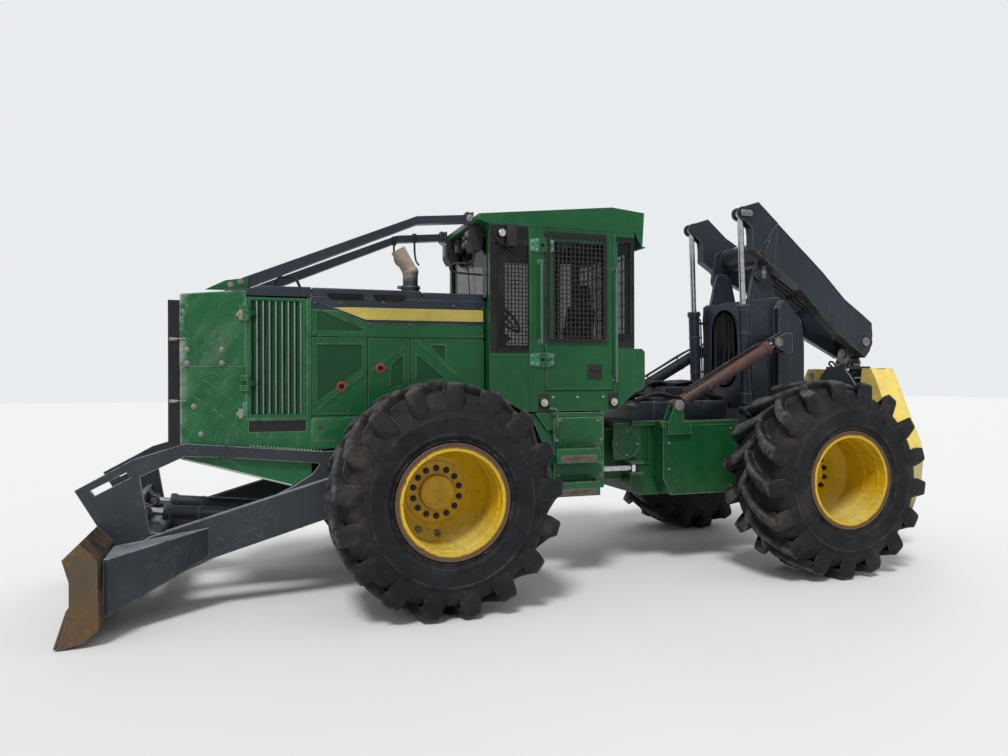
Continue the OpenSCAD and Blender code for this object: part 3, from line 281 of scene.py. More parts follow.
def rusty(name, steel=(0.2, 0.17, 0.145), brown=(0.17, 0.075, 0.032), amount=0.5, right=None):
    """Worn structural steel, brown where it rusts and bright where it rubs."""
    f = Finish(name)
    broad = f.cloud(2.3, 4.0, 0.6)
    fine = f.cloud(16.0, 5.0, 0.7)
    grit = f.cloud(90.0, 3.0, 0.7)
    patch = (broad * 0.6 + fine * 0.5).step(0.62 - amount * 0.3, 0.72 - amount * 0.1)
    streak = f.scratches(3.0, 12.0, 0.02)
    f.colour = f.blend(steel, brown, patch)
    f.over(toned(brown, 1.7), (fine.step(0.56, 0.7) * patch * 0.6).held())
    f.over(toned(steel, 0.9, 0.1), (streak * 0.45 + f.edge(0.009) * 0.7).held())
    if right is not None:
        f.colour = f.blend(right, f.colour, f.along("Y").step(-0.01, 0.01))
    rough = 0.38 + patch * 0.4 + grit * 0.1 - streak * 0.12
    bump = f.relief(grit * 0.5 + fine * 0.6, 0.35, 0.002)
    return f.done(rough.held(), bump, Metallic=(0.75 - patch * 0.6).held(), Specular_IOR_Level=0.4)


def rubber():
    """Dark tyre rubber: bluish black side walls, lug tops rubbed grey, brown soil low down and in the grooves."""
    f = Finish("Tyre rubber")
    radius = f.from_axles()
    broad = f.cloud(1.6, 3.0)
    fine = f.cloud(9.0, 5.0, 0.66)
    grit = f.cloud(120.0, 3.0, 0.7)
    f.colour = f.blend((0.0065, 0.0072, 0.0092), (0.021, 0.021, 0.023),
            (broad * 0.5 + fine * 0.5).step(0.35, 0.7))
    tread = (radius.step(0.865, 0.9) * fine.step(0.34, 0.66)).held()
    f.over((0.12, 0.118, 0.116), tread * 0.8)
    worn = (f.edge(0.016) * fine.step(0.36, 0.66)).held()
    f.over((0.14, 0.134, 0.128), worn * 0.8)
    soil = (f.cloud(3.3, 5.0, 0.7).step(0.5, 0.74) * (0.25 + radius.step(0.6, 0.84) * 0.5)).held()
    f.over((0.095, 0.066, 0.047), soil * 0.7)
    rough = 0.6 + grit * 0.2 + soil * 0.2
    bump = f.relief(grit * 0.3 + fine * 0.9, 0.5, 0.004, 0.006)
    return f.done(rough.held(), bump, Specular_IOR_Level=0.22)


def chrome():
    """A hard chromed rod with a thin oil film and fine dust."""
    f = Finish("Chromed rod")
    fine = f.cloud(20.0, 4.0, 0.6)
    f.colour = f.blend((0.6, 0.61, 0.63), (0.36, 0.35, 0.34), fine.step(0.48, 0.75))
    rough = 0.13 + fine * 0.12
    return f.done(rough.held(), Metallic=1.0)


def glass():
    """Tinted safety glass with a thin dusty film."""
    f = Finish("Cab glass")
    film = f.cloud(2.4, 4.0, 0.6).step(0.48, 0.85)
    f.colour = f.blend((0.004, 0.006, 0.007), (0.1, 0.1, 0.095), film * 0.25)
    f.material.surface_render_method = "DITHERED"
    return f.done((0.05 + film * 0.2).held(), Alpha=(0.42 + film * 0.12).held(), Specular_IOR_Level=0.45)


def plastic(name, colour=(0.018, 0.018, 0.019), rough=0.55):
    """Moulded black plastic with a fine grain and dust."""
    f = Finish(name)
    grain = f.cloud(260.0, 2.0, 0.6)
    fine = f.cloud(6.0, 4.0, 0.6)
    top = f.facing("Z").step(0.4, 0.95)
    film = (fine.step(0.42, 0.75) * (top * 0.35 + 0.03)).held()
    f.colour = f.blend(colour, DUST, film)
    return f.done((rough + film * 0.3 + grain * 0.06).held(), f.relief(grain, 0.18, 0.0006),
            Specular_IOR_Level=0.3)


def cloth():
    """Woven seat cloth."""
    f = Finish("Padded cloth")
    weave = f.bands("X", 180.0, 0.6)
    weft = f.bands("Z", 180.0, 0.6)
    fine = f.cloud(12.0, 4.0)
    f.colour = f.blend((0.022, 0.022, 0.025), (0.06, 0.058, 0.055), (weave * weft + fine * 0.4).held())
    return f.done(0.9, f.relief(weave * 0.5 + weft * 0.5, 0.3, 0.0008, 0.0), Sheen_Weight=0.2)


def scraped(name, colour):
    """The radiator box: green enamel scuffed pale in slanting bands and fine lines, worn at its front."""
    f = Finish(name)
    broad = f.cloud(0.9, 2.0)
    fine = f.cloud(8.0, 4.0, 0.62)
    grit = f.cloud(60.0, 3.0, 0.7)
    f.colour = f.blend(toned(colour, 0.7), toned(colour, 1.2, 0.006),
            (broad * 0.5 + fine * 0.5).step(0.28, 0.74))
    x, z = f.along("X"), f.along("Z")
    front = x.step(2.45, 3.24)
    band = f.cloud(1.5, 5.0, 0.66, where=f.slanted((0.4, 0.95, 0), 1.0, 0.26, (0.4, 0.0, 0.2))).step(0.5, 0.72)
    aslant = f.slanted((0.3, 1.15, 0), 1.1, 0.055, (2.1, 0.7, 0.0))
    lines = f.cloud(2.3, 6.0, 0.74, where=aslant).step(0.54, 0.7)
    across = f.slanted((0.2, 0.55, 0.2), 0.9, 0.05, (5.3, 1.1, 0.8))
    lines = lines.most(f.cloud(2.0, 6.0, 0.72, where=across).step(0.58, 0.72))
    scuff = ((band * 0.42 + lines * 0.34) * (0.22 + front * 0.34)).held()
    f.over((0.19, 0.27, 0.19), scuff)
    thin = (f.scratches(1.2, 20.0, 0.007) * 0.26).held()
    f.over((0.34, 0.42, 0.35), thin)
    rim = (x.step(3.19, 3.262) * (0.25 + z.step(1.6, 2.5) * 0.8)).most(z.step(2.515, 2.558) * x.step(2.75, 2.9))
    bare = (rim * (fine * 0.7 + grit * 0.35 + band * 0.2).step(0.47, 0.68) * 0.8).held()
    f.over((0.5, 0.53, 0.47), bare)
    worn = (f.edge(0.01) * (fine * 0.5 + grit * 0.6).step(0.4, 0.62) * (0.35 + front * 0.5)).held()
    f.over((0.5, 0.56, 0.49), worn)
    top = f.facing("Z").step(0.4, 0.95)
    film = (top * fine.step(0.35, 0.75) * 0.35).held()
    f.over(DUST, film)
    rough = 0.34 + film * 0.4 + scuff * 0.25 + thin * 0.2 + grit * 0.06
    bump = f.relief(grit * 0.2 + fine * 0.5 + lines * 0.25, 0.22, 0.0016)
    return f.done(rough.held(), bump, Coat_Weight=0.08, Coat_Roughness=0.25, Specular_IOR_Level=0.26)


def louvred(name, colour):
    """The cooler doors: slats with painted light on one edge and painted shade between them."""
    f = Finish(name)
    x, z = f.along("X") - SHIFT, f.along("Z")
    fine = f.cloud(8.0, 4.0, 0.62)
    grit = f.cloud(60.0, 3.0, 0.7)
    # Painted shade: the whole louvre area is darker, for the shade between the slats
    inside = x.step(1.028, 1.034) * (1.0 - x.step(1.434, 1.44))
    inside = inside * z.step(1.538, 1.544) * (1.0 - z.step(2.476, 2.482))
    # Painted light and shade on each slat: lighter at its front edge, darker towards the next slat
    turn = ((x - 1.04) / 0.0495)._math("FRACT", (x - 1.04) / 0.0495)
    shade = turn.step(0.15, 0.9)
    frame_colour = f.blend(toned(colour, 0.8), toned(colour, 1.2), fine)
    slat_painted_shade = f.blend(toned(colour, 0.48), toned(colour, 0.16), shade)
    slat_painted_shade = f.blend(slat_painted_shade, (0.16, 0.25, 0.18),
            (f.cloud(2.0, 6.0, 0.7, where=f.slanted((0, 1.5, 0), 1.0, 0.02)).step(0.55, 0.7) * 0.35).held())
    f.colour = f.blend(frame_colour, slat_painted_shade, inside.held())
    worn = (f.edge(0.008) * (fine * 0.5 + grit * 0.6).step(0.42, 0.62) * (1.0 - inside) * 0.6).held()
    f.over((0.4, 0.46, 0.4), worn)
    rough = 0.36 + grit * 0.08
    bump = f.relief(grit * 0.2 + fine * 0.5, 0.2, 0.0016)
    return f.done(rough.held(), bump, Coat_Weight=0.08, Coat_Roughness=0.25, Specular_IOR_Level=0.26)


def rim_paint(name, colour):
    """Wheel enamel: clean in the disc, a painted pale sheen below where the barrel faces up, rusty on the flange
    and in spots.
    """
    f = Finish(name)
    radius = f.from_axles()
    fine = f.cloud(11.0, 5.0, 0.66)
    grit = f.cloud(80.0, 3.0, 0.7)
    broad = f.cloud(2.1, 3.0)
    f.colour = f.blend(toned(colour, 0.72), toned(colour, 1.1), (broad * 0.4 + fine * 0.6).step(0.3, 0.66))
    # Painted sheen: pale yellow where the lower barrel faces up, for the light it catches there
    painted_sheen = (f.facing("Z").step(0.15, 0.9) * (broad * 0.5 + fine * 0.5).step(0.3, 0.6) * 0.75).held()
    f.over((0.62, 0.56, 0.19), painted_sheen)
    streaks = (f.cloud(3.0, 5.0, 0.7, where=f.slanted((0, 1.57, 0), 1.0, 0.09)).step(0.52, 0.72) * 0.35).held()
    f.over((0.33, 0.19, 0.025), streaks)
    spots = ((fine * 0.5 + grit * 0.6).step(0.6, 0.68) * radius.step(0.26, 0.38) * 0.85).held()
    f.over((0.085, 0.04, 0.02), spots)
    ring = (radius + (fine - 0.5) * 0.035).step(0.4, 0.413)
    f.over((0.082, 0.046, 0.032), (ring * 0.95).held())
    f.over((0.24, 0.17, 0.12), (ring * grit.step(0.52, 0.68) * 0.6).held())
    rough = 0.36 + ring * 0.4 + painted_sheen * 0.2
    bump = f.relief(grit * 0.3 + fine * 0.5 + ring * grit * 0.6, 0.3, 0.002)
    return f.done(rough.held(), bump, Coat_Weight=0.08, Coat_Roughness=0.3, Specular_IOR_Level=0.28)


def tong_paint(name, colour):
    """Yellow tongs: bright above, scraped grey where they dig, rusty at the point."""
    f = Finish(name)
    z = f.along("Z")
    fine = f.cloud(9.0, 5.0, 0.66)
    grit = f.cloud(80.0, 3.0, 0.7)
    broad = f.cloud(2.4, 3.0)
    f.colour = f.blend(toned(colour, 0.8), toned(colour, 1.12), (broad * 0.4 + fine * 0.6).step(0.3, 0.66))
    low = (1.0 - z.step(0.75, 1.45))
    bare = (low * 0.85 + (fine - 0.5) * 0.8).step(0.4, 0.72)
    f.over((0.42, 0.37, 0.19), (bare * 0.75).held())
    tip = (1.0 - z.step(0.36, 0.62))
    f.over((0.16, 0.085, 0.045), (tip * (0.55 + fine * 0.8)).held())
    worn = (f.edge(0.009) * (fine * 0.5 + grit * 0.6).step(0.36, 0.6)).held()
    f.over((0.2, 0.13, 0.08), worn * 0.8)
    lines = (f.scratches(3.0, 12.0, 0.014) * 0.5).held()
    f.over((0.3, 0.25, 0.16), lines)
    rough = 0.42 + bare * 0.25 + grit * 0.08
    bump = f.relief(grit * 0.3 + fine * 0.6, 0.3, 0.002)
    return f.done(rough.held(), bump, Coat_Weight=0.1, Coat_Roughness=0.3, Specular_IOR_Level=0.4)


def pierced(name, colour, pitch=0.011, depth=1.0):
    """Sheet pierced with rows of small round holes, painted near black as the shade behind the sheet."""
    f = Finish(name)
    spot = f.node("ShaderNodeTexVoronoi", {"feature": "F1"},
            {"Vector": f.mapped(scale=(1 / pitch, 0.001, 1 / pitch), turn=(0, 0.785, 0)), "Scale": 1.0,
            "Randomness": 0.0}, out="Distance")
    hole = (1.0 - spot.step(0.3, 0.36)) * depth
    fine = f.cloud(7.0, 4.0, 0.6)
    f.colour = f.blend(colour, toned(colour, 1.5, 0.004), (fine.step(0.4, 0.8) * 0.5).held())
    # Painted shade: the holes are near black
    f.over((0.003, 0.003, 0.003), hole)
    return f.done(0.5, f.relief(1.0 - hole, 0.5, 0.001, 0.0), Specular_IOR_Level=0.3)


def finned(name):
    """A cooler's core: fine upright fins, dusty, with painted shade between them."""
    f = Finish(name)
    wave = f.bands("Z", 36.0, 0.3, "SAW")
    fine = f.cloud(9.0, 4.0, 0.6)
    # Painted shade: each fin ramps from near black between the fins to grey
    f.colour = f.blend((0.008, 0.008, 0.008), (0.06, 0.055, 0.048), (wave * 0.8).held())
    f.over(DUST, (fine.step(0.45, 0.8) * 0.25).held())
    return f.done(0.7, f.relief(wave, 0.6, 0.003, 0.0), Specular_IOR_Level=0.3)


def exhaust_pipe(name):
    """The exhaust: sooty steel below, burnt tan towards its outlet."""
    f = Finish(name)
    z = f.along("Z")
    fine = f.cloud(9.0, 5.0, 0.66)
    grit = f.cloud(70.0, 3.0, 0.7)
    heat = (z + (fine - 0.5) * 0.12).step(2.74, 2.9)
    steel = f.blend((0.05, 0.052, 0.056), (0.105, 0.105, 0.105), fine)
    tan = f.blend((0.33, 0.27, 0.2), (0.5, 0.44, 0.35), fine.step(0.3, 0.7))
    f.colour = f.blend(steel, tan, heat)
    f.over((0.17, 0.1, 0.06), (grit.step(0.56, 0.7) * heat * 0.5).held())
    return f.done((0.38 + heat * 0.3 + grit * 0.1).held(), f.relief(grit * 0.4 + fine * 0.5, 0.25, 0.0015),
            Metallic=(0.7 - heat * 0.6).held(), Specular_IOR_Level=0.3)


def lens(name):
    """Clear lamp glass over a bright reflector, ribbed."""
    f = Finish(name)
    ribs = f.bands("Z", 34.0, 0.0)
    f.colour = f.blend((0.3, 0.31, 0.32), (0.66, 0.67, 0.68), ribs)
    return f.done(0.12, f.relief(ribs, 0.4, 0.002, 0.0), Metallic=0.55, Coat_Weight=1.0, Coat_Roughness=0.03)


def wire_rope():
    """Greasy steel strands, laid aslant."""
    f = Finish("Wire rope")
    lay = f.bands("DIAGONAL", 55.0, 0.4)
    f.colour = f.blend((0.035, 0.032, 0.03), (0.17, 0.155, 0.14), lay)
    return f.done(0.5, f.relief(lay, 0.7, 0.002, 0.0), Metallic=0.6)


class LookSettings(bpy.types.PropertyGroup):
    """Colours of the machine."""

    green: FloatVectorProperty(name="Green", description="Enamel of the cab, hood and frames", subtype="COLOR",
            size=3, min=0, max=1, default=(0.0062, 0.108, 0.03))
    charcoal: FloatVectorProperty(name="Charcoal", description="Enamel of the blade frame, arch and boom",
            subtype="COLOR", size=3, min=0, max=1, default=(0.0165, 0.0235, 0.0345))
    yellow: FloatVectorProperty(name="Yellow", description="Enamel of the rims, tongs and hood stripe",
            subtype="COLOR", size=3, min=0, max=1, default=(0.66, 0.42, 0.008))
    floor: FloatVectorProperty(name="Floor", description="Plain floor of the studio", subtype="COLOR", size=3,
            min=0, max=1, default=(0.74, 0.74, 0.73))
    sun: FloatProperty(name="Key light", description="Strength of the broad key light",
            default=2.1, min=0.0, max=6.0)
    sky: FloatProperty(name="Fill light", description="Strength of the even light all round",
            default=0.62, min=0.0, max=2.0)


class TyreSettings(bpy.types.PropertyGroup):
    """Sizes of the tyres and wheels."""

    outer: FloatProperty(name="Outer radius", description="Radius over the lugs", default=0.905, unit="LENGTH")
    width: FloatProperty(name="Width", description="Width of the carcass", default=0.775, unit="LENGTH")
    lug_depth: FloatProperty(name="Lug depth", description="Height of the lugs above the carcass",
            default=0.083, unit="LENGTH")
    lugs: IntProperty(name="Lugs a side", description="Lugs on each half of the tread",
            default=17, min=8, max=24)
    track: FloatProperty(name="Wheel middle",
            description="Distance of a wheel's middle plane from the machine's", default=1.2375, unit="LENGTH")
    nuts: IntProperty(name="Wheel nuts", description="Nuts round the hub", default=14, min=6, max=20)


def started(name):
    """An empty mesh object of that name, in the scene."""
    thing = bpy.data.objects.new(name, bpy.data.meshes.new(name))
    bpy.context.scene.collection.objects.link(thing)
    return thing


def finished(name, bm, material, body, smooth=35.0):
    """Makes the bmesh an object with its finish, and rides it on a body."""
    thing = started(name)
    bmesh.ops.recalc_face_normals(bm, faces=bm.faces)
    for face in bm.faces:
        face.smooth = True
    limit = math.radians(smooth)
    for side in bm.edges:
        if len(side.link_faces) == 2 and side.calc_face_angle(0.0) > limit:
            side.smooth = False
    bm.to_mesh(thing.data)
    bm.free()
    thing.data.materials.append(material)
    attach(thing, body)
    return thing


@contextmanager
def piece(name, look, body="front_frame", slot=None, side=None):
    """A bmesh to fill, then a finished piece: on both sides, as it stands (side 0 or 1), or mirrored (-1)."""
    bm = bmesh.new()
    yield bm
    if side is None:
        both_sides(bm)
    elif side < 0:
        bmesh.ops.scale(bm, vec=(1, -1, 1), verts=bm.verts)
    finished(name, bm, LOOKS[look], body)


def brick(bm, low, high, bevel=0.0, segments=2):
    """A box between two corners, with broken edges."""
    low, high = Vector(low), Vector(high)
    size = high - low
    made = bmesh.ops.create_cube(bm, size=1.0)["verts"]
    bmesh.ops.scale(bm, vec=size, verts=made)
    if bevel:
        sides = {side for point in made for side in point.link_edges}
        made = bmesh.ops.bevel(bm, geom=list(sides), offset=bevel, segments=segments, profile=0.5,
                affect="EDGES", material=-1)["verts"]
    bmesh.ops.translate(bm, verts=made, vec=(low + high) / 2)


def rod(bm, start, end, radius, sides=20, tip=None):
    """A round bar between two points; tip is the radius at the far end."""
    start, end = Vector(start), Vector(end)
    run = end - start
    made = bmesh.ops.create_cone(bm, cap_ends=True, segments=sides, radius1=radius,
            radius2=radius if tip is None else tip, depth=run.length)["verts"]
    bmesh.ops.rotate(bm, verts=made, matrix=run.to_track_quat("Z", "Y").to_matrix())
    bmesh.ops.translate(bm, verts=made, vec=(start + end) / 2)


def hex_nut(bm, centre, direction, across=0.03, height=0.022, washer=True):
    """A hexagon nut or bolt head with its washer."""
    centre, direction = Vector(centre), Vector(direction).normalized()
    base = centre
    if washer:
        rod(bm, centre, centre + direction * 0.004, across * 0.66, 16)
        base = centre + direction * 0.004
    rod(bm, base, base + direction * height, across / 2 / math.cos(math.pi / 6), 6, across / 2 * 1.08)
    rod(bm, base + direction * height, base + direction * (height + 0.006), across * 0.27, 10)


def joined(bm, part, matrix=None):
    """Adds a small bmesh to bm, moved by a matrix, and frees it."""
    if matrix is not None:
        bmesh.ops.transform(part, matrix=matrix, verts=part.verts)
    mesh = bpy.data.meshes.new("part")
    part.to_mesh(mesh)
    part.free()
    bm.from_mesh(mesh)
    bpy.data.meshes.remove(mesh)


def outlined(places):
    """A small bmesh that holds one face."""
    part = bmesh.new()
    return part, part.faces.new([part.verts.new(at(*place)) for place in places])


def thickened(part, faces, push):
    """Draws faces out along a vector."""
    grown = bmesh.ops.extrude_face_region(part, geom=faces)["geom"]
    moved = [entry for entry in grown if isinstance(entry, bmesh.types.BMVert)]
    bmesh.ops.translate(part, verts=moved, vec=push)


def framed(part, face, width):
    """Leaves only a frame of a face, width wide."""
    part.normal_update()
    bmesh.ops.inset_region(part, faces=[face], thickness=width, use_boundary=True, use_even_offset=True)
    bmesh.ops.delete(part, geom=[face], context="FACES_ONLY")


def corners(x0, x1, z0, z1):
    """The outline of a rectangle."""
    return (x0, z0), (x0, z1), (x1, z1), (x1, z0)


def plate(bm, outline, y, thick, bevel=0.0):
    """A flat plate in the side view, from its outline in x and z, from y to y + thick."""
    part, face = outlined((x, y, z) for x, z in outline)
    thickened(part, [face], (0, thick, 0))
    if bevel:
        bmesh.ops.bevel(part, geom=part.edges[:], offset=bevel, segments=2, profile=0.5,
                affect="EDGES", material=-1)
    joined(bm, part)


def border(bm, outline, y, thick, width):
    """A flat frame that follows an outline in the side view, width wide towards its inside."""
    part, face = outlined((x, y, z) for x, z in outline)
    framed(part, face, width)
    thickened(part, part.faces[:], (0, thick, 0))
    joined(bm, part)


def box(bm, low, high, bevel=0.003):
    """A box between two corners of the part's drawing."""
    brick(bm, at(*low), at(*high), bevel)


def path(bm, places):
    """A string of edges through places."""
    points = [bm.verts.new(place) for place in places]
    for pair in zip(points, points[1:]):
        bm.edges.new(pair)
    return points


def turned(bm, outline, start, sides=24, direction=(0, 1, 0)):
    """A body of revolution from its outline as (distance along, radius)."""
    part = bmesh.new()
    path(part, [(radius, 0.0, distance) for distance, radius in outline])
    bmesh.ops.spin(part, geom=part.verts[:] + part.edges[:], cent=(0, 0, 0), axis=(0, 0, 1), angle=2 * math.pi,
            steps=sides, use_merge=True)
    bmesh.ops.remove_doubles(part, verts=part.verts, dist=1e-6)
    turn = Vector(direction).to_track_quat("Z", "Y").to_matrix().to_4x4()
    joined(bm, part, Matrix.Translation(Vector(start)) @ turn)


def button(bm, outline, start, sides=24, direction=(0, 1, 0)):
    """A body of revolution with flat ends, which the outline leaves out."""
    turned(bm, [(outline[0][0], 0), *outline, (outline[-1][0], 0)], start, sides, direction)


def hoop(bm, centre, direction, ring, thick, sides=32, around=10):
    """A round ring of round bar."""
    outline = [(math.sin(2 * math.pi * i / around) * thick,
            ring + math.cos(2 * math.pi * i / around) * thick) for i in range(around + 1)]
    turned(bm, outline, centre, sides, direction)


def weld(bm, start, end, radius=0.006):
    """A ribbed weld bead along a seam."""
    start, end = at(*start), at(*end)
    run = end - start
    count = max(3, int(run.length / 0.009))
    outline = [(0.0, 0.0)]
    for i in range(count + 1):
        outline.append((run.length * i / count, radius * (1.0 if i % 2 else 0.78)))
    outline.append((run.length, 0.0))
    turned(bm, outline, start, 6, run)


def pipe(bm, points, radius, resolution=3, corner=None):
    """A fixed hose or bent bar through points of the part's drawing; corner is the radius of its bends."""
    curve = bpy.data.curves.new("pipe", "CURVE")
    curve.dimensions = "3D"
    curve.bevel_depth = radius
    curve.bevel_resolution = resolution
    curve.resolution_u = 6
    curve.use_fill_caps = True
    places = [at(*point) for point in points]
    knots = [(place, None) for place in places]
    if corner:
        knots = knots[:1]
        for before, here, after in zip(places, places[1:], places[2:]):
            back = (before - here).normalized() * min(corner, (before - here).length * 0.45)
            ahead = (after - here).normalized() * min(corner, (after - here).length * 0.45)
            knots += [(here + back, -back), (here + ahead, -ahead)]
        knots.append((places[-1], None))
    spline = curve.splines.new("BEZIER")
    spline.bezier_points.add(len(knots) - 1)
    for number, (knot, (place, lean)) in enumerate(zip(spline.bezier_points, knots)):
        knot.co = place
        knot.handle_left_type = knot.handle_right_type = "FREE" if corner else "AUTO"
        if corner:
            knot.handle_left = knot.handle_right = place
        if lean is not None:
            setattr(knot, "handle_right" if number % 2 else "handle_left", place + lean * 0.55)
    holder = bpy.data.objects.new("pipe", curve)
    bpy.context.scene.collection.objects.link(holder)
    bpy.context.view_layer.update()
    mesh = bpy.data.meshes.new_from_object(holder)
    bpy.data.objects.remove(holder)
    part = bmesh.new()
    part.from_mesh(mesh)
    bpy.data.meshes.remove(mesh)
    bmesh.ops.remove_doubles(part, verts=part.verts, dist=1e-6)
    joined(bm, part)


def both_sides(bm):
    """Adds the mirror image of all that bm holds on the other side of the machine."""
    copied = bmesh.ops.duplicate(bm, geom=bm.verts[:] + bm.edges[:] + bm.faces[:])["geom"]
    points = [entry for entry in copied if isinstance(entry, bmesh.types.BMVert)]
    bmesh.ops.scale(bm, vec=(1, -1, 1), verts=points)


def bolts(bm, spots, y, across=0.024, height=0.012):
    """Bolt heads on a face that looks to +Y, at places given in x and z."""
    for x, z in spots:
        hex_nut(bm, at(x, y, z), (0, 1, 0), across, height)


def coat_nodes(look, *names):
    """Gives CAD nodes their finish."""
    for name in names:
        mesh = NODES[name].data
        mesh.materials.clear()
        mesh.materials.append(LOOKS[look])


LOOKS = {}


class SKID_OT_finishes(bpy.types.Operator):
    """Mix the machine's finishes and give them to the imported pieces"""

    bl_idname = "skidder.finishes"
    bl_label = "Finishes"

    def execute(self, context):
        paints = context.scene.skidder_looks
        green, charcoal, yellow = paints.green[:], paints.charcoal[:], paints.yellow[:]
        LOOKS.update(
            scraped=scraped("Green scraped", green),
            # Painted shade: the hood sides, cab, roof and doors take a darker copy of the green, for the shade that
            # falls on the cab and roof
            green=paint("Green enamel", toned(green, 0.8), scuff=0.12, dust=0.16,
                edge=0.5, gloss=0.27, low=0.6),
            green_trim=paint("Green trim", toned(green, 0.88), scuff=0.12, dust=0.12,
                edge=0.1, gloss=0.27, low=0.6),
            frame_green=paint("Green frame", toned(green, 0.72), scuff=0.2, dust=0.4, edge=0.7,
                gloss=0.34, low=0.75),
            charcoal=paint("Charcoal enamel", charcoal, scuff=0.12, dust=0.3, edge=0.9,
                edge_wear_and_highlight_colour=(0.26, 0.27, 0.28), gloss=0.34, low=0.5, soil=(0.2, 0.21, 0.22),
                under=(0.085, 0.055, 0.036)),
            # The blade frame's pale edges are worn paint and also a painted highlight along the arms' edges
            blade_charcoal=paint("Charcoal blade frame", (0.026, 0.032, 0.04), scuff=0.3, dust=0.95, edge=1.6,
                edge_wear_and_highlight_colour=(0.46, 0.46, 0.45), gloss=0.4, low=0.0, soil=(0.3, 0.335, 0.36), rise=(0.05, 0.35)),
            arch=paint("Charcoal arch", charcoal, scuff=0.16, dust=0.85, edge=1.1, edge_wear_and_highlight_colour=(0.34, 0.34, 0.34),
                gloss=0.34, low=0.3, soil=(0.26, 0.265, 0.27), rise=(0.05, 0.5)),
            pale_edge=paint("Worn skirt edge", (0.36, 0.44, 0.36), scuff=0.4, dust=0.2, edge=0.5),
            rust=rusty("Worn blade steel", steel=(0.105, 0.088, 0.066),
                brown=(0.125, 0.072, 0.032), amount=0.6),
            rusty_green=rusty("Rusty barrel", steel=(0.085, 0.052, 0.045), brown=(0.115, 0.055, 0.038),
                amount=0.6, right=charcoal),
            steel=rusty("Dusty steel", steel=(0.19, 0.19, 0.19), brown=(0.13, 0.09, 0.065), amount=0.25),
            iron=rusty("Oily iron", steel=(0.055, 0.055, 0.055), brown=(0.07, 0.05, 0.04), amount=0.4),
            exhaust=exhaust_pipe("Exhaust pipe"),
            rubber=rubber(),
            chrome=chrome(),
            glass=glass(),
            black=plastic("Black plastic"),
            cloth=cloth(),
            louvre=louvred("Cooler door", green),
            stripe=paint("Yellow stripe", (0.47, 0.37, 0.075), scuff=0.2, dust=0.3,
                edge=0.5, gloss=0.38, low=0.6),
            mesh_green=pierced("Pierced green sheet", toned(green, 0.5), 0.012, 0.45),
            hole=plastic("Dark opening", (0.004, 0.004, 0.004), 0.8),
            red=plastic("Red seal", (0.34, 0.035, 0.02), 0.6),
            dull_bolt=rusty("Dull bolt", steel=(0.075, 0.078, 0.075), brown=(0.09, 0.06, 0.04), amount=0.3),
            grey_bolt=rusty("Grey bolt", steel=(0.25, 0.25, 0.24), brown=(0.16, 0.1, 0.06), amount=0.3),
            core=finned("Cooler core"),
            worn_edge=paint("Worn green edge", (0.16, 0.25, 0.19), scuff=0.4, dust=0.3, edge=0.5),
            teal=paint("Green hinge", (0.03, 0.215, 0.12), scuff=0.3, dust=0.3, edge=0.8, gloss=0.34),
            rosy=rusty("Worn catch", steel=(0.33, 0.3, 0.275), brown=(0.2, 0.13, 0.095), amount=0.35),
            black_steel=paint("Black frame", (0.009, 0.009, 0.01), scuff=0.12, dust=0.1, edge=0.12, gloss=0.4),
            black_gloss=plastic("Glass border", (0.006, 0.007, 0.007), 0.16),
            bright=rusty("Bright bolt", steel=(0.52, 0.5, 0.46), brown=(0.3, 0.24, 0.17), amount=0.2),
            lens=lens("Lamp lens"),
            rail=paint("Grab rail", (0.075, 0.15, 0.095), scuff=0.55, dust=0.3, edge=0.8, gloss=0.34),
            step_brown=rusty("Brown tread", steel=(0.065, 0.052, 0.042),
                brown=(0.105, 0.06, 0.036), amount=0.7),
            step_green=paint("Step green", toned(green, 0.9), scuff=0.25, dust=1.15, edge=0.8, low=0.1,
                soil=(0.085, 0.05, 0.03)),
            rim=rim_paint("Rim enamel", yellow),
            tong=tong_paint("Tong enamel", (0.78, 0.6, 0.135)),
            hose=plastic("Hose rubber", (0.016, 0.016, 0.017), 0.62),
            rope=wire_rope(),
        )
        coat_nodes("scraped", "radiator_housing")
        coat_nodes("louvre", "cooler_door_left", "cooler_door_right")
        coat_nodes("green", "hood_sides", "cab_shell", "cab_roof", "cab_door_left", "cab_door_right")
        coat_nodes("frame_green", "front_chassis", "rear_chassis", "side_boxes", "steer_barrel_left",
                   "steer_barrel_right", "front_axle", "rear_axle")
        coat_nodes("step_green", "access_steps")
        # Painted shade: the lift cylinders' barrels take the dark charcoal for the shade they sit in under the box
        coat_nodes("charcoal", "hood_top", "limb_risers", "boom", "crosshead",
                   "boom_barrels", "grapple_head", "tong_barrel", "cab_guards", "lift_barrels")
        coat_nodes("black_steel", "front_grille")
        coat_nodes("blade_charcoal", "blade_frame")
        coat_nodes("arch", "arch", "deck_covers")
        coat_nodes("rust", "moldboard")
        coat_nodes("rusty_green", "arch_barrels")
        coat_nodes("steel", "winch", "yoke")
        coat_nodes("rail", "handrails")
        coat_nodes("iron", "engine_block")
        coat_nodes("exhaust", "exhaust_stack")
        coat_nodes("chrome", "lift_rods", "steer_rod_left", "steer_rod_right", "arch_rods",
                "boom_rods", "tong_rod")
        coat_nodes("glass", "cab_glass", "door_glass_left", "door_glass_right")
        coat_nodes("black", "door_guard_left", "door_guard_right", "console", "work_lamps")
        coat_nodes("cloth", "seat_unit")
        coat_nodes("tong", "tong_left", "tong_right")
        coat_nodes("rim", "rim_front_left", "rim_front_right", "rim_rear_left", "rim_rear_right")
        coat_nodes("rubber", "tyre_front_left", "tyre_front_right", "tyre_rear_left", "tyre_rear_right")
        return {"FINISHED"}


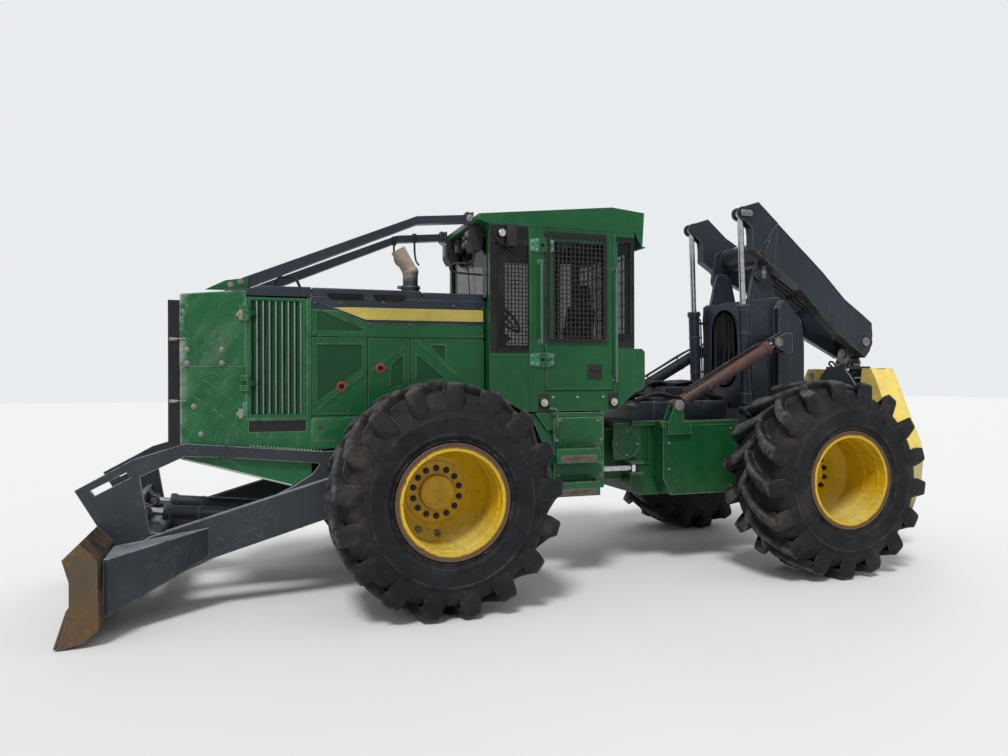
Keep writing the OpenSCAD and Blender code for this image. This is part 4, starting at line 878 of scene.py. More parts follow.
def carcass(bm, sizes):
    """The tyre without its lugs, spun about its axle, with the outside towards +Y."""
    half = sizes.width / 2
    crown = sizes.outer - sizes.lug_depth
    seat = 0.348 - 0.0163
    outline = [(0.4069, seat), (0.432, seat + 0.001), (0.452, seat + 0.004), (0.462, seat + 0.02),
            (0.474, half - 0.048),
               (0.496, half - 0.03), (0.503, half - 0.02), (0.513, half - 0.02), (0.52, half - 0.024),
            (0.575, half - 0.013),
               (0.625, half - 0.015), (0.632, half - 0.009), (0.64, half - 0.01),
            (0.648, half - 0.02), (0.69, half - 0.032),
               (0.73, half - 0.052), (0.765, half - 0.08), (0.792, half - 0.118), (crown - 0.008, half - 0.17),
               (crown + 0.003, 0.12), (crown + 0.005, 0.0)]
    outline = outline + [(r, -y) for r, y in reversed(outline[:-1])]
    points = path(bm, [(0.0, y, r) for r, y in outline])
    bm.edges.new((points[-1], points[0]))
    bmesh.ops.spin(bm, geom=bm.verts[:] + bm.edges[:], cent=(0, 0, 0), axis=(0, 1, 0), angle=2 * math.pi,
            steps=112, use_merge=True)
    bmesh.ops.recalc_face_normals(bm, faces=bm.faces)


def lug(bm, sizes, angle, side, seed):
    """One tread lug: a bar with broken edges, bent over the crown and down the shoulder."""
    length, wide, tall = 0.66, 0.098, sizes.lug_depth + 0.02
    made = bmesh.ops.create_cube(bm, size=1.0)["verts"]
    bmesh.ops.scale(bm, vec=(length, wide, tall), verts=made)
    fresh = set(bm.verts) - set(made)
    sides = {edge for point in made for edge in point.link_edges}
    bmesh.ops.bevel(bm, geom=list(sides), offset=0.011, segments=2, profile=0.5, affect="EDGES", material=-1)
    for cut in range(1, 15):
        x = -length / 2 + length * cut / 15
        geom = [p for p in bm.verts if p not in fresh]
        geom += [e for e in bm.edges if e.verts[0] not in fresh]
        geom += [f for f in bm.faces if f.verts[0] not in fresh]
        bmesh.ops.bisect_plane(bm, geom=geom, plane_co=(x, 0, 0), plane_no=(1, 0, 0))
    points = [p for p in bm.verts if p not in fresh]
    half = sizes.width / 2
    crown = sizes.outer - sizes.lug_depth
    for point in points:
        u = max(0.0, point.co.x / length + 0.5)
        v = point.co.y
        w = point.co.z / tall + 0.5
        # Along the lug: from just past the middle, over the crown, round the shoulder
        run = u * length
        reach = half - 0.052
        flat = 0.445
        if run < flat:
            y = -0.03 + run * (reach + 0.03) / flat * 0.97
            radius_low = crown - 0.012
            radius_top = sizes.outer - 0.008 * (y / half) ** 2 - 0.01 * max(0.0, y / half - 0.55)
            lean_y = 0.0
        else:
            over = (run - flat) / (length - flat)
            # The trailing corner reaches further down the side wall
            over = min(1.0, over * (1.0 - 0.55 * v / wide * over))
            y = -0.03 + (reach + 0.03) * 0.97 + over * 0.03
            radius_low = crown - 0.02 - 0.21 * over
            radius_top = sizes.outer - 0.012 - 0.185 * over ** 1.2
            lean_y = 0.042 * over * (1.0 - 0.62 * over)
        r = radius_low + (radius_top - radius_low) * w
        y += lean_y * w
        sweep = 0.335 * (1.0 - math.exp(-1.9 * max(0.0, y + 0.03) / half)) / (1.0 - math.exp(-1.9))
        spread = (0.92 + 0.85 * min(u, 0.72) ** 1.5 - 1.0 * max(0.0, u - 0.76)) * (1.24 - 0.4 * w)
        turn = angle + sweep + v * spread / r
        bump = noise.noise(Vector((point.co.x * 9 + seed * 3.1, v * 14, w * 2 + seed))) * 0.006
        r += bump * w
        y = side * min(y + bump * 0.6, half - 0.001)
        point.co = Vector((math.sin(turn) * r, y, math.cos(turn) * r))


def tyres_pieces(context):
    sizes = context.scene.skidder_tyres
    bm = bmesh.new()
    carcass(bm, sizes)
    pitch = 2 * math.pi / sizes.lugs
    for i in range(sizes.lugs):
        lug(bm, sizes, i * pitch, 1, i)
        lug(bm, sizes, (i + 0.5) * pitch, -1, i + 40)
    master = bpy.data.meshes.new("tyre master")
    bmesh.ops.recalc_face_normals(bm, faces=bm.faces)
    bm.to_mesh(master)
    bm.free()
    for end, centre in AXLES:
        for word, sign in SIDES:
            bm = bmesh.new()
            bm.from_mesh(master)
            if sign < 0:
                bmesh.ops.scale(bm, vec=(1, -1, 1), verts=bm.verts)
            bmesh.ops.rotate(bm, verts=bm.verts, matrix=Matrix.Rotation(0.4 if end == "front" else 1.3, 3, "Y"))
            bmesh.ops.translate(bm, verts=bm.verts, vec=centre + Vector((0, sign * sizes.track, 0)))
            thing = finished(f"lugged_tyre_{end}_{word}", bm, LOOKS["rubber"],
                    f"wheel_{end}_{word}", 40)
            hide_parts(f"tyre_{end}_{word}")
    bpy.data.meshes.remove(master)


class SKID_OT_tyres(bpy.types.Operator):
    """Make the four lugged tyres"""

    bl_idname = "skidder.tyres"
    bl_label = "Tyres"

    def execute(self, context):
        tyres_pieces(context)
        return {"FINISHED"}


# Distance of the outer faces of the hood and of the cab from the middle plane, and just outside the cab
HOOD_Y = 0.58
CAB_Y = 0.7
CAB_SKIN = CAB_Y + 0.0005


def hood_pieces():
    # Dark cap panel that follows the hood's edge, with the rounded upper edge
    with piece("hood_cap", "charcoal", side=0) as bm:
        plate(bm, [(0.956, 2.5), (0.492, 2.303), (-0.545, 2.31), (-0.545, 2.515), (0.956, 2.52)],
                HOOD_Y, 0.0036, 0.001)
        both_sides(bm)
        for x0, x1, z1 in ((0.9575, 0.02, 2.5962), (0.017, -0.545, 2.5862)):
            brick(bm, at(x1, -HOOD_Y - 0.003, 2.48), at(x0, HOOD_Y + 0.003, z1), 0.016, segments=3)
    # Yellow stripe with its slanted start
    with piece("hood_stripe", "stripe") as bm:
        plate(bm, [(0.775, 2.4335), (0.508, 2.336), (-0.535, 2.338), (-0.535, 2.441), (0.6, 2.438)],
                HOOD_Y + 0.0036, 0.0022)
    # Air vents: dark slots with a rounded rim
    with piece("hood_vent_screens", "hole") as bm:
        for x0, x1 in ((0.528, 0.828), (0.174, 0.444)):
            plate(bm, [(x1, 2.552), (x0 + 0.01, 2.552), (x0, 2.54), (x0, 2.5), (x1 - 0.03, 2.498), (x1, 2.53)],
                    HOOD_Y + 0.0032, 0.003)
    # Perforated windows of the side doors
    with piece("hood_mesh_windows", "mesh_green") as bm:
        windows = (((0.922, 2.421), (0.88, 2.415), (0.53, 2.262), (0.526, 2.238),
                (0.54, 2.229), (0.922, 2.229)),
                   ((0.92, 2.129), (0.545, 2.132), (0.534, 2.12), (0.533, 1.925), (0.9, 1.64), (0.919, 1.64)),
                   ((0.3, 1.929), (0.29, 1.96), (0.181, 2.055), (0.183, 1.783), (0.3, 1.731)),
                   ((-0.045, 2.128), (-0.192, 2.131), (-0.193, 1.985), (-0.17, 1.977), (-0.09, 2.06)),
                   ((0.076, 2.044), (0.06, 2.044), (-0.184, 1.84), (-0.184, 1.826), (0.075, 1.809)))
        for outline in windows:
            plate(bm, outline, HOOD_Y - 0.0078, 0.0015)
    with piece("hood_door_ribs", "green_trim") as bm:
        for outline in windows:
            border(bm, outline, HOOD_Y - 0.004, 0.0052, 0.01)
        # Pressed stiffening ribs that run aslant over the doors
        plate(bm, [(0.955, 1.56), (0.925, 1.545), (0.525, 1.84), (0.525, 1.885)], HOOD_Y, 0.0025, 0.001)
        plate(bm, [(0.47, 1.915), (0.44, 1.88), (0.185, 2.075), (0.185, 2.12)], HOOD_Y, 0.0025, 0.001)
        plate(bm, [(0.105, 2.17), (0.06, 2.17), (-0.3, 1.87), (-0.3, 1.83)], HOOD_Y, 0.0025, 0.001)
        # Door edges of the side doors
        for outline in (corners(0.954, 0.502, 2.182, 1.53), corners(0.49, 0.132, 2.18, 1.53),
                ((0.12, 2.178), (-0.542, 2.172), (-0.542, 1.53), (0.12, 1.53))):
            border(bm, outline, HOOD_Y, 0.003, 0.014)
    # Dark gaps between the doors and round the hood's sides
    with piece("hood_gaps", "hole") as bm:
        for x in (0.4965, 0.1262):
            box(bm, (x - 0.004, HOOD_Y, 1.528), (x + 0.004, HOOD_Y + 0.0012, 2.182), 0)
        for z0, z1, xa, xb in ((2.1835, 2.1905, -0.542, 0.955), (1.5215, 1.5275, -0.542, 0.955),
                (1.5, 2.478, 0.9555, 0.9605), (1.53, 2.3, -0.5455, -0.5405)):
            box(bm, (xa, HOOD_Y, z0), (xb, HOOD_Y + 0.0014, z1), 0)
    # Round openings in the side doors, each a near black disc painted as the shade inside it, with its torn red
    # ring
    with piece("hood_round_openings", "hole") as bm:
        for x, z in ((0.713, 1.77), (0.384, 1.924)):
            turned(bm, corners(0.0, 0.006, 0.0, 0.024), at(x, HOOD_Y, z), 28)
    with piece("hood_opening_rings", "red") as bm:
        for x, z in ((0.713, 1.77), (0.384, 1.924)):
            turned(bm, [(0.0, 0.0241), (0.0, 0.041), (0.004, 0.04), (0.0065, 0.026), (0.0065, 0.0241),
                    (0.0, 0.0241)], at(x, HOOD_Y, z), 28)
    # Bolts and buttons of the hood's sides
    with piece("hood_bolts", "dull_bolt") as bm:
        bolts(bm, [(0.932, 2.467), (0.932, 2.212), (0.479, 2.297), (0.727, 2.469), (0.358, 2.486),
                (-0.264, 2.472), (-0.53, 2.205), (-0.53, 2.455), (0.13, 2.297)], HOOD_Y + 0.0035, 0.018, 0.006)
        for x, z in ((0.652, 1.56), (0.3, 1.56), (-0.2, 1.56), (-0.5, 1.56), (0.774, 1.312)):
            turned(bm, [(0, 0), (0, 0.011), (0.003, 0.01), (0.0045, 0)], at(x, HOOD_Y, z), 12)
        turned(bm, [(0, 0), (0, 0.02), (0.004, 0.02), (0.004, 0.014), (0.003, 0.0)], at(0.889, HOOD_Y, 1.43))
    # Grab handle on the hood, in front of the limb riser
    with piece("hood_handles", "charcoal") as bm:
        pipe(bm, [(1.262, 0.4, 2.59), (1.222, 0.4, 2.69), (1.075, 0.4, 2.697),
                (1.028, 0.4, 2.59)], 0.0125, 3, 0.04)


class SKID_OT_hood(bpy.types.Operator):
    """Make the hood's cap, stripe, vents, mesh windows and fasteners"""

    bl_idname = "skidder.hood"
    bl_label = "Hood trim"

    def execute(self, context):
        hood_pieces()
        return {"FINISHED"}


def radiator_pieces():
    # Charcoal cap along the top behind the corner, and the skirt's turned lip
    with piece("radiator_cap", "charcoal", side=0) as bm:
        plate(bm, [(1.476, 2.566), (1.476, 2.5), (0.962, 2.5), (0.962, 2.598),
                (1.36, 2.594)], HOOD_Y, 0.004, 0.001)
        both_sides(bm)
        box(bm, (0.9625, -0.583, 2.5555), (1.4, 0.583, 2.597), 0.012)
    with piece("skirt_lips", "pale_edge") as bm:
        plate(bm, [(1.968, 1.2005), (1.964, 1.2145), (1.117, 0.9625), (1.119, 0.949)], HOOD_Y, 0.01, 0.002)
    with piece("radiator_plates", "scraped") as bm:
        plate(bm, corners(1.969, 1.955, 1.3, 2.498), HOOD_Y, 0.003, 0.001)
        plate(bm, [(0.958, 1.504), (0.962, 1.3), (0.786, 1.312), (0.5, 1.505)], HOOD_Y, 0.003, 0.001)
        # Raised frame round the cooler door
        border(bm, corners(1.478, 0.988, 2.515, 1.5), HOOD_Y, 0.004, 0.014)
    # Slots behind the louvres and below them
    with piece("radiator_slots", "black_steel", slot="rusty_steel") as bm:
        plate(bm, corners(1.455, 1.005, 1.489, 1.401), HOOD_Y - 0.01, 0.002)
    # Core of the cooler behind the slats
    with piece("cooler_cores", "core") as bm:
        box(bm, (0.99, 0.5, 1.505), (1.478, 0.52, 2.508), 0.0)
    for word, side in SIDES:
        # Pale worn edge strips on the slats
        with piece(f"cooler_slat_edges_{word}", "worn_edge", f"cooler_door_{word[0]}",
                slot="green_paint", side=0) as bm:
            for i in range(8):
                x = 1.04 + i * 0.0495
                low, high = at(x - 0.0008, side * (HOOD_Y - 0.002), 1.545), at(x + 0.0085,
                        side * (HOOD_Y + 0.0012), 2.472)
                brick(bm, [min(a, b) for a, b in zip(low, high)],
                        [max(a, b) for a, b in zip(low, high)], 0.0012)
    # Hinges, catches and the bolts on the plates
    with piece("cooler_hinge_plates", "teal") as bm:
        for z, thick in ((1.59, 0.005), (2.395, 0.012)):
            box(bm, (1.468, HOOD_Y, z - 0.055), (1.5, HOOD_Y + thick, z + 0.055), 0.002)
    with piece("cooler_catches", "rosy") as bm:
        for z, thick in ((1.553, 0.0045), (2.352, 0.022)):
            box(bm, (1.5, HOOD_Y, z - 0.038), (1.532, HOOD_Y + thick, z + 0.038), 0.0015)
            button(bm, [(0, 0.016), (thick * 0.9, 0.016), (thick, 0.01)], at(1.535, HOOD_Y, z))
    with piece("radiator_bolts", "grey_bolt") as bm:
        for x, z in ((1.919, 2.068), (1.659, 2.072), (1.919, 1.96), (1.659, 1.963),
                (1.869, 1.616), (1.817, 1.396)):
            button(bm, [(0, 0.021), (0.003, 0.021), (0.004, 0.0155), (0.01, 0.014), (0.013, 0.008)],
                    at(x, HOOD_Y + 0.005 if z > 1.93 else HOOD_Y, z), 20)
    # Front grille: bars and side catches
    with piece("grille_bars", "black_steel", slot="black_parts", side=0) as bm:
        for side in (-1, 1):
            for i in range(8):
                z = 1.405 + i * 0.128
                for k in range(3):
                    box(bm, (1.976, side * 0.27 - 0.228, z + k * 0.026),
                            (2.05, side * 0.27 + 0.228, z + k * 0.026 + 0.006), 0)
    with piece("grille_catches", "grey_bolt") as bm:
        for z, proud, size in ((1.66, 0.5812, 0.0035), (2.15, 0.59, 0.0065)):
            box(bm, (1.99, 0.5782, z - 0.012), (2.05, proud - 0.0005, z + 0.012), 0.001)
            rod(bm, at(1.925, proud, z + 0.004), at(2.03, proud, z), size, 12)
            turned(bm, corners(0, size, 0, 0.013), at(2.022, proud - 0.002, z), 16)
    # Bolts and gussets where the limb risers stand on the hood
    with piece("riser_foot_bolts", "grey_bolt") as bm:
        for x, z in ((1.594, 2.6), (1.517, 2.626)):
            button(bm, [(0, 0.024), (0.004, 0.024), (0.005, 0.018), (0.014, 0.016)], at(x, 0.5245, z), 20)
    with piece("riser_gussets", "green_trim") as bm:
        plate(bm, [(1.79, 2.5555), (1.635, 2.636), (1.46, 2.664), (1.46, 2.5555)], 0.5165, 0.008, 0.002)


class SKID_OT_radiator(bpy.types.Operator):
    """Make the plates, bolts, hinges and grille parts of the radiator box"""

    bl_idname = "skidder.radiator"
    bl_label = "Radiator box trim"

    def execute(self, context):
        radiator_pieces()
        return {"FINISHED"}


def cab_pieces():
    # Black glass borders of the side windows
    with piece("window_borders", "black_gloss") as bm:
        y = CAB_SKIN
        plate(bm, corners(-0.562, -0.925, 3.19, 3.04), y, 0.004, 0.001)
        plate(bm, corners(-0.562, -0.62, 3.04, 2.085), y, 0.004, 0.001)
        plate(bm, corners(-0.562, -0.925, 2.085, 2.062), y, 0.004, 0.001)
        border(bm, corners(-0.622, -0.943, 3.038, 2.087), CAB_Y - 0.016, 0.01, 0.02)
        plate(bm, corners(-1.985, -1.8, 3.15, 3.1), y, 0.004, 0.001)
        plate(bm, corners(-1.985, -1.95, 3.1, 2.25), y, 0.004, 0.001)
        plate(bm, corners(-1.985, -1.8, 2.25, 2.12), y, 0.004, 0.001)
    # Borders of the front and rear windows
    with piece("windscreen_borders", "black_gloss", side=0) as bm:
        for x, low, high, half in ((-0.56, 2.56, 3.12, 0.6), (-1.985, 2.2, 3.1, 0.56)):
            way = 1 if x > -1 else -1
            for y0, y1, z0, z1 in ((-half - 0.04, half + 0.04, high, high + 0.04),
                    (-half - 0.04, half + 0.04, low - 0.04, low), (half, half + 0.04, low, high),
                    (-half - 0.04, -half, low, high)):
                xs = sorted((x + way * 0.0005, x + way * 0.006))
                box(bm, (xs[0], y0, z0), (xs[1], y1, z1), 0.002)
    # Door guards: black frame round the grid, with its catches
    for word, side in SIDES:
        with piece(f"door_guard_frame_{word}", "black_steel", f"cab_door_{word[0]}",
                slot="black_parts", side=side) as bm:
            y = CAB_Y + 0.0045
            border(bm, corners(-1.092, -1.697, 3.16, 2.154), y, 0.016, 0.038)
            for z in (2.985, 2.41):
                box(bm, (-1.135, y + 0.004, z - 0.03), (-1.086, y + 0.022, z - 0.016), 0.002)
                box(bm, (-1.135, y + 0.004, z + 0.016), (-1.086, y + 0.022, z + 0.03), 0.002)
            for x, z in ((-1.11, 3.14), (-1.68, 3.14), (-1.11, 2.172), (-1.68, 2.172), (-1.68, 2.66),
                    (-1.4, 3.145), (-1.4, 2.17)):
                turned(bm, [(0, 0), (0, 0.009), (0.004, 0.007), (0.005, 0)], at(x, y + 0.016, z), 12)
        # Paddle handle in its black tray
        with piece(f"door_handle_{word}", "black", f"cab_door_{word[0]}", side=side) as bm:
            box(bm, (-1.645, CAB_Y + 0.0045, 1.826), (-1.5, CAB_Y + 0.01, 1.962), 0.003)
            box(bm, (-1.626, CAB_Y - 0.008, 1.842), (-1.508, CAB_Y + 0.004, 1.94), 0.002)
            box(bm, (-1.61, CAB_Y + 0.01, 1.9), (-1.53, CAB_Y + 0.022, 1.938), 0.004)
            button(bm, [(0, 0.013), (0.008, 0.012)], at(-1.57, CAB_Y + 0.01, 1.862), 16)
        # Door skin: raised border
        with piece(f"door_edge_{word}", "green_trim", f"cab_door_{word[0]}", side=side) as bm:
            border(bm, corners(-1.087, -1.748, 3.128, 1.727), CAB_Y + 0.004, 0.003, 0.02)
        # Leaf of each hinge on the door
        with piece(f"door_hinge_leaves_{word}", "teal", f"cab_door_{word[0]}", side=side) as bm:
            for z in (2.0, 3.03):
                plate(bm, [(-1.093, z + 0.064), (-1.093, z - 0.064), (-1.165, z - 0.052), (-1.165, z + 0.052)],
                        CAB_Y + 0.006, 0.01, 0.002)
                bolts(bm, [(-1.145, z + 0.032), (-1.145, z - 0.032)], CAB_Y + 0.016, 0.02, 0.01)
    with piece("cab_hinge_leaves", "teal") as bm:
        for z in (2.0, 3.03):
            plate(bm, [(-0.935, z + 0.052), (-0.935, z - 0.052), (-1.03, z - 0.064), (-1.03, z + 0.064)],
                    CAB_SKIN, 0.01, 0.002)
            bolts(bm, [(-0.96, z + 0.032), (-0.96, z - 0.032), (-1.005, z + 0.04), (-1.005, z - 0.04)],
                    CAB_Y + 0.0105, 0.02, 0.01)
    # Pillar strips and folded edges of the cab's sheet metal
    with piece("cab_folds", "green_trim", side=0) as bm:
        plate(bm, corners(-0.928, -0.942, 3.19, 1.55), CAB_SKIN, 0.005, 0.002)
        plate(bm, corners(-1.766, -1.79, 3.19, 1.7), CAB_SKIN, 0.005, 0.002)
        plate(bm, corners(-0.562, -0.925, 2.05, 2.03), CAB_SKIN, 0.004, 0.001)
        both_sides(bm)
        # Rear heater box covers
        box(bm, (-2.1115, -0.55, 1.79), (-2.1055, 0.55, 2.06), 0.003)
    # Dark gaps round the doors and above the step boxes
    with piece("cab_gaps", "hole") as bm:
        for x0, x1, z0, z1 in ((-1.0855, -1.0775, 1.715, 3.138), (-1.7575, -1.7505, 1.715, 3.138),
                (-1.7575, -1.0775, 3.1305, 3.138), (-1.7575, -1.0775, 1.715, 1.7235)):
            box(bm, (x0, CAB_Y, z0), (x1, CAB_Y + 0.0014, z1), 0)
        box(bm, (-1.66, 0.6, 1.5), (-1.17, 0.64, 1.548), 0)
    # Sill with the cab mounts: dark pockets, rubber and bolt heads
    with piece("cab_mount_rubbers", "black") as bm:
        for x in (-1.069, -1.765):
            plate(bm, corners(x + 0.052, x - 0.052, 1.695, 1.545), CAB_SKIN, 0.003, 0.001)
            button(bm, [(0, 0.047), (0.012, 0.047), (0.022, 0.04)], at(x, CAB_Y + 0.003, 1.612), 28)
    with piece("cab_mount_bolts", "bright") as bm:
        for x in (-1.069, -1.765):
            button(bm, [(0, 0.034), (0.003, 0.034), (0.004, 0.03)], at(x, CAB_Y + 0.025, 1.612), 24)
            hex_nut(bm, at(x, CAB_Y + 0.029, 1.612), (0, 1, 0), 0.036, 0.02, False)
        bolts(bm, [(-1.16, 1.66), (-1.4, 1.66), (-1.66, 1.66)], CAB_SKIN, 0.016, 0.006)
    # Roof: drip edge and folded lips
    with piece("roof_edges", "green_trim", side=0) as bm:
        plate(bm, [(-0.468, 3.2315), (-0.562, 3.2015), (-2.0, 3.2015), (-2.0, 3.214), (-0.56, 3.214),
                (-0.466, 3.2435)], CAB_Y, 0.009, 0.002)
        both_sides(bm)
        box(bm, (-2.102, -0.7, 3.06), (-2.075, 0.7, 3.075), 0.003)
        box(bm, (-0.4665, -0.69, 3.2305), (-0.455, 0.69, 3.245), 0.002)
    # Lamps: black slab and round lamps at the front corners
    with piece("corner_lamps", "black", side=0) as bm:
        brick(bm, at(-0.8, CAB_Y + 0.006, 3.0), at(-0.706, CAB_Y + 0.06, 3.196), 0.01)
        turned(bm, [(0, 0), (0, 0.026), (0.01, 0.04), (0.034, 0.043), (0.04, 0.038), (0.036, 0.0)],
                at(-0.668, CAB_Y + 0.004, 3.118), 28)
        pipe(bm, [(-0.6, CAB_Y + 0.01, 3.16), (-0.62, CAB_Y + 0.03, 3.06), (-0.7, CAB_Y + 0.02, 3.01),
                (-0.78, CAB_Y + 0.02, 2.97)], 0.006)
        both_sides(bm)
        for y in (-0.42, -0.14, 0.14, 0.42):
            box(bm, (-0.545, y - 0.075, 3.07), (-0.478, y + 0.075, 3.185), 0.01)
        for y in (-0.45, -0.15, 0.15, 0.45):
            box(bm, (-2.06, y - 0.075, 3.12), (-2.001, y + 0.075, 3.19), 0.01)
    with piece("lamp_lenses", "lens") as bm:
        turned(bm, [(0, 0), (0, 0.036), (0.002, 0.034), (0.005, 0.02), (0.006, 0)],
                at(-0.668, CAB_Y + 0.041, 3.118), 28)
    with piece("work_lamp_lenses", "black_gloss", slot="window_glass", side=0) as bm:
        for y in (-0.42, -0.14, 0.14, 0.42):
            box(bm, (-0.4785, y - 0.062, 3.083), (-0.4745, y + 0.062, 3.172), 0.002)
        for y in (-0.45, -0.15, 0.15, 0.45):
            box(bm, (-2.0645, y - 0.062, 3.13), (-2.06, y + 0.062, 3.18), 0.002)
        # Lens of the tapered lamp housings at the front
        for y in (-0.42, 0.42):
            box(bm, (-0.442, y - 0.075, 3.07), (-0.4325, y + 0.075, 3.175), 0.003)
    # Bent bar below the left front lamp
    with piece("mirror_bars", "black", side=0) as bm:
        pipe(bm, [(-0.42, 0.5, 2.868), (-0.29, 0.5, 2.862), (-0.247, 0.5, 2.835), (-0.262, 0.5, 2.795),
                (-0.33, 0.5, 2.78), (-0.555, 0.5, 2.77)], 0.01, 3, 0.03)
        pipe(bm, [(-0.42, 0.5, 2.868), (-0.47, 0.5, 2.9), (-0.475, 0.5, 2.985)], 0.01, 3, 0.02)
        # Wiper on the windscreen
        pipe(bm, [(-0.548, -0.2, 3.09), (-0.548, 0.05, 2.86)], 0.006)
        pipe(bm, [(-0.55, 0.0, 3.06), (-0.55, 0.1, 2.62)], 0.005)
        box(bm, (-0.556, -0.25, 3.075), (-0.54, -0.15, 3.11), 0.004)
    # Feet of the grab rails, and the loop on the step box
    with piece("rail_feet", "rail") as bm:
        for x, lows in ((-1.035, (2.162, 2.878)), (-1.78, (1.812, 2.848))):
            for z in lows:
                button(bm, [(0, 0.024), (0.005, 0.024)], at(x, CAB_SKIN, z), 20)
        pipe(bm, [(-1.112, 0.703, 1.545), (-1.118, 0.745, 1.56), (-1.172, 0.755, 1.545), (-1.18, 0.752, 1.5),
                (-1.178, 0.75, 1.375), (-1.176, 0.703, 1.35)], 0.0095, 3)
    # Steps: plates, bolts and toothed edges
    with piece("step_teeth", "step_brown") as bm:
        for z, x0, x1 in ((0.9, -1.56, -1.14), (1.2, -1.56, -1.14)):
            count = int((x1 - x0) / 0.024)
            for i in range(count):
                x = x0 + 0.012 + i * 0.024
                button(bm, [(0, 0.007), (0.01, 0.0035)], at(x, 0.839, z), 5, (0, 0, 1))
            for i in range(6):
                y = 0.712 + i * 0.02
                button(bm, [(0, 0.007), (0.01, 0.0035)], at(x0 - 0.012 + 0.001 * i, y, z), 5, (0, 0, 1))
        for z in (0.782, 1.082):
            plate(bm, [(-1.175, z + 0.062), (-1.175, z), (-1.51, z), (-1.535, z + 0.03), (-1.535, z + 0.062)],
                    0.8445, 0.002, 0.0005)
    with piece("step_plates", "step_green") as bm:
        plate(bm, corners(-1.168, -1.662, 1.518, 1.49), CAB_SKIN, 0.006, 0.002)
        plate(bm, [(-0.9, 1.512), (-1.158, 1.512), (-1.158, 0.83), (-1.13, 1.0), (-1.09, 1.2),
                (-1.0, 1.4)], 0.662, 0.006, 0.001)
        plate(bm, corners(-1.168, -1.655, 1.475, 1.215), CAB_SKIN, 0.003, 0.001)
        plate(bm, corners(-1.18, -1.655, 1.06, 0.915), CAB_SKIN, 0.003, 0.001)
    with piece("step_bolts", "grey_bolt") as bm:
        bolts(bm, [(-1.22, 1.448), (-1.6, 1.442), (-1.19, 1.267), (-1.631, 1.265), (-1.621, 0.951),
                (-1.205, 0.951)], CAB_Y + 0.0035, 0.02, 0.01)


class SKID_OT_cab(bpy.types.Operator):
    """Make the cab's window frames, hinges, handles, lamps, mounts and steps"""

    bl_idname = "skidder.cab"
    bl_label = "Cab trim"

    def execute(self, context):
        cab_pieces()
        return {"FINISHED"}


# Outer faces of the rim's disc and of the hub, from the machine's middle, and the circle of the nuts
DISC_FACE = 1.0095
HUB_FACE = 1.0558
NUT_CIRCLE = 0.195


def wheels_pieces(context):
    sizes = context.scene.skidder_tyres
    for end, centre in AXLES:
        for word, sign in SIDES:
            out = Vector((0, sign, 0))
            face = centre + out * DISC_FACE
            with piece(f"wheel_nuts_{end}_{word}", "black_steel", f"wheel_{end}_{word}", side=0) as bm:
                for i in range(sizes.nuts):
                    turn = 2 * math.pi * i / sizes.nuts
                    spot = face + Vector((math.sin(turn) * NUT_CIRCLE, 0, math.cos(turn) * NUT_CIRCLE))
                    turned(bm, corners(0, 0.006, 0, 0.026), spot, 20, out)
                    hex_nut(bm, spot + out * 0.006, out, 0.036, 0.024, False)
            # Cap of the hub, with its centre plug and the step of the disc
            with piece(f"rim_trim_{end}_{word}", "rim", f"wheel_{end}_{word}", side=0) as bm:
                button(bm, [(0, 0.136), (0.004, 0.1385), (0.004, 0.133), (0.008, 0.13), (0.008, 0.02),
                        (0.012, 0.018)], centre + out * HUB_FACE, 48, out)
                turned(bm, [(0, 0.245), (0.006, 0.245), (0.008, 0.251), (0.006, 0.257), (0, 0.257),
                        (0, 0.245)], face, 48, out)
                # Beads of the rim's well and the weld between the disc and the barrel
                for depth, ring, bar in ((1.115, 0.3835, 0.0045), (1.33, 0.3845, 0.006), (1.5, 0.3845, 0.006)):
                    hoop(bm, centre + out * depth, out, ring, bar, 64, 8)
                hoop(bm, centre + out * 1.5845, out, 0.4385, 0.0078, 72, 10)
            with piece(f"valve_{end}_{word}", "grey_bolt", f"wheel_{end}_{word}", side=0) as bm:
                # Valve in its hole in the disc, and the plug below the nuts
                spot = centre + out * 1.045 + Vector((0.16, 0, -0.292))
                turned(bm, [(-0.06, 0), (-0.06, 0.02), (0, 0.022), (0.004, 0.032), (0.016, 0.033),
                        (0.028, 0.024), (0.033, 0)], spot, 24, out)
                turned(bm, [(0, 0), (0, 0.019), (0.005, 0.017), (0.006, 0)],
                        centre + out * 1.0098 + Vector((0, 0, -0.331)), 20, out)


class SKID_OT_wheels(bpy.types.Operator):
    """Make the hub caps, wheel nuts, rim beads and valves"""

    bl_idname = "skidder.wheels"
    bl_label = "Hubs and rims"

    def execute(self, context):
        wheels_pieces(context)
        return {"FINISHED"}


